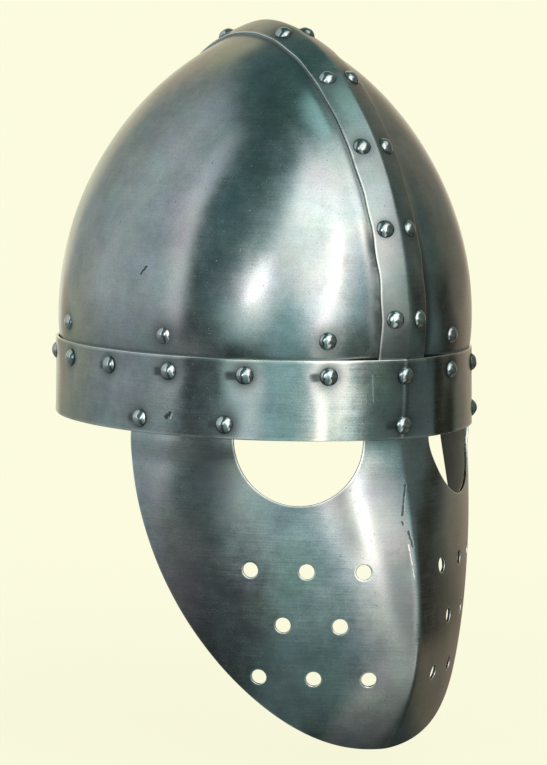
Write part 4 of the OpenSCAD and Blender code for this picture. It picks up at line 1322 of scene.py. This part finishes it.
def tongue_shape(mid):
    """Tables up one tongue, at even steps of its length: height, radius and half width."""
    rise = TONGUE_TOP - BEND_Z
    z = np.concatenate([np.linspace(LINER_ROW - TONGUE_FOOT, BEND_Z, 30)[:-1],
                        BEND_Z + rise * np.sin(np.linspace(0, np.pi / 2, 120))])
    middle, left, right = (lining(np.full(len(z), mid + turn), z, LEATHER_2)
                           for turn in (0, 0.02, -0.02))
    radius = np.linalg.norm(left - right, axis=1) / 0.04
    waist = 1 - TONGUE_WAIST * np.maximum(0, np.sin(np.pi * (z - BEND_Z) / rise))
    return length_along(middle), z, radius, TONGUE_TURN * waist * radius


def shrink(loop, amount):
    """Moves a flat loop's points in, away from its edge."""
    way = unit(np.roll(loop, -1, 0) - np.roll(loop, 1, 0))
    return loop + np.stack([-way[:, 1], way[:, 0]], -1) * amount


def tongue_outline(length, half):
    """The cut shape in flat millimetres: round corners at the foot, and a round tip."""
    whole = length[-1]
    run = np.linspace(0, whole, 400)
    wide = np.interp(run, length, half)
    corner = np.sqrt(TONGUE_CORNER ** 2 - np.maximum(0, TONGUE_CORNER - run) ** 2)
    wide = np.minimum(wide, wide[0] - TONGUE_CORNER + corner)
    into_tip = np.maximum(0, 1 - (whole - run) / (TONGUE_TIP * half[-1]))
    wide = 0.02 + wide * np.sqrt(1 - into_tip ** 2)
    closed = np.concatenate([np.stack([wide, run], -1), np.stack([-wide, run], -1)[::-1],
                             [[wide[0], run[0]]]])
    along = length_along(closed)
    even = np.linspace(0, along[-1], int(along[-1] / TONGUE_STEP) + 1)[:-1]
    return np.stack([np.interp(even, along, closed[:, k]) for k in (0, 1)], -1)


def tongue(mid):
    """An outline in flat millimetres with a lace hole, filled and bent along the lining."""
    length, z, radius, half = tongue_shape(mid)
    whole = length[-1]
    outline = tongue_outline(length, half)
    theta = -circle(LACE_SIDES)
    hole = np.stack([LACE_R * np.cos(theta), whole - LACE_INSET + LACE_R * np.sin(theta)], -1)
    rims = [shrink(outline, LEATHER_ROUND), shrink(hole, 0.4)]
    supports = [shrink(rims[0], 1.3), shrink(rims[1], 0.8)]
    where, triangles, loops = fill(rims, supports, TONGUE_PITCH)

    def bent(a, b):
        height = np.interp(b, length, z)
        return lining(mid + a / np.interp(b, length, radius), height, LEATHER_2)

    a, b = where.T
    points = bent(a, b)
    normals = unit(np.cross(bent(a + 0.4, b) - bent(a - 0.4, b),
                            bent(a, np.minimum(whole, b + 0.4)) - bent(a, b - 0.4)))
    x, y = outline.T
    area = 0.5 * abs((x * np.roll(y, -1) - y * np.roll(x, -1)).sum())
    beside = gaps(where, np.concatenate(rims))
    return points, normals, triangles, loops, beside, (2 * half.max(), whole, area)


for number in range(8):
    mid = (1 if number % 2 == 0 else -1) * LINER_TURNS[number // 2]
    points, normals, triangles, loops, beside, (width, length, area) = tongue(mid)
    sag = 0.15 + waver(points, size=0.12, wave=38, seed=60 + number)
    points, faces, edge, inner = plate_shell(points - normals * sag[:, None], normals, triangles,
                                             loops, LEATHER - TONGUE_THIN, LEATHER_ROUND)
    line = hill(beside, 3.0, 0.45) * 0.8 + hill(beside, 0, 1.2)
    rub = np.concatenate([line, line, np.zeros(len(points) - 2 * len(line))])
    leaf = add_piece(f"liner_tongue_{number + 1}", points, faces, hide_brown,
                     {"edge": edge, "rub": np.maximum(rub, 0.9 * near(points, liner_points, 8.5))})
    width * MM
    length * MM
    area * MM ** 2
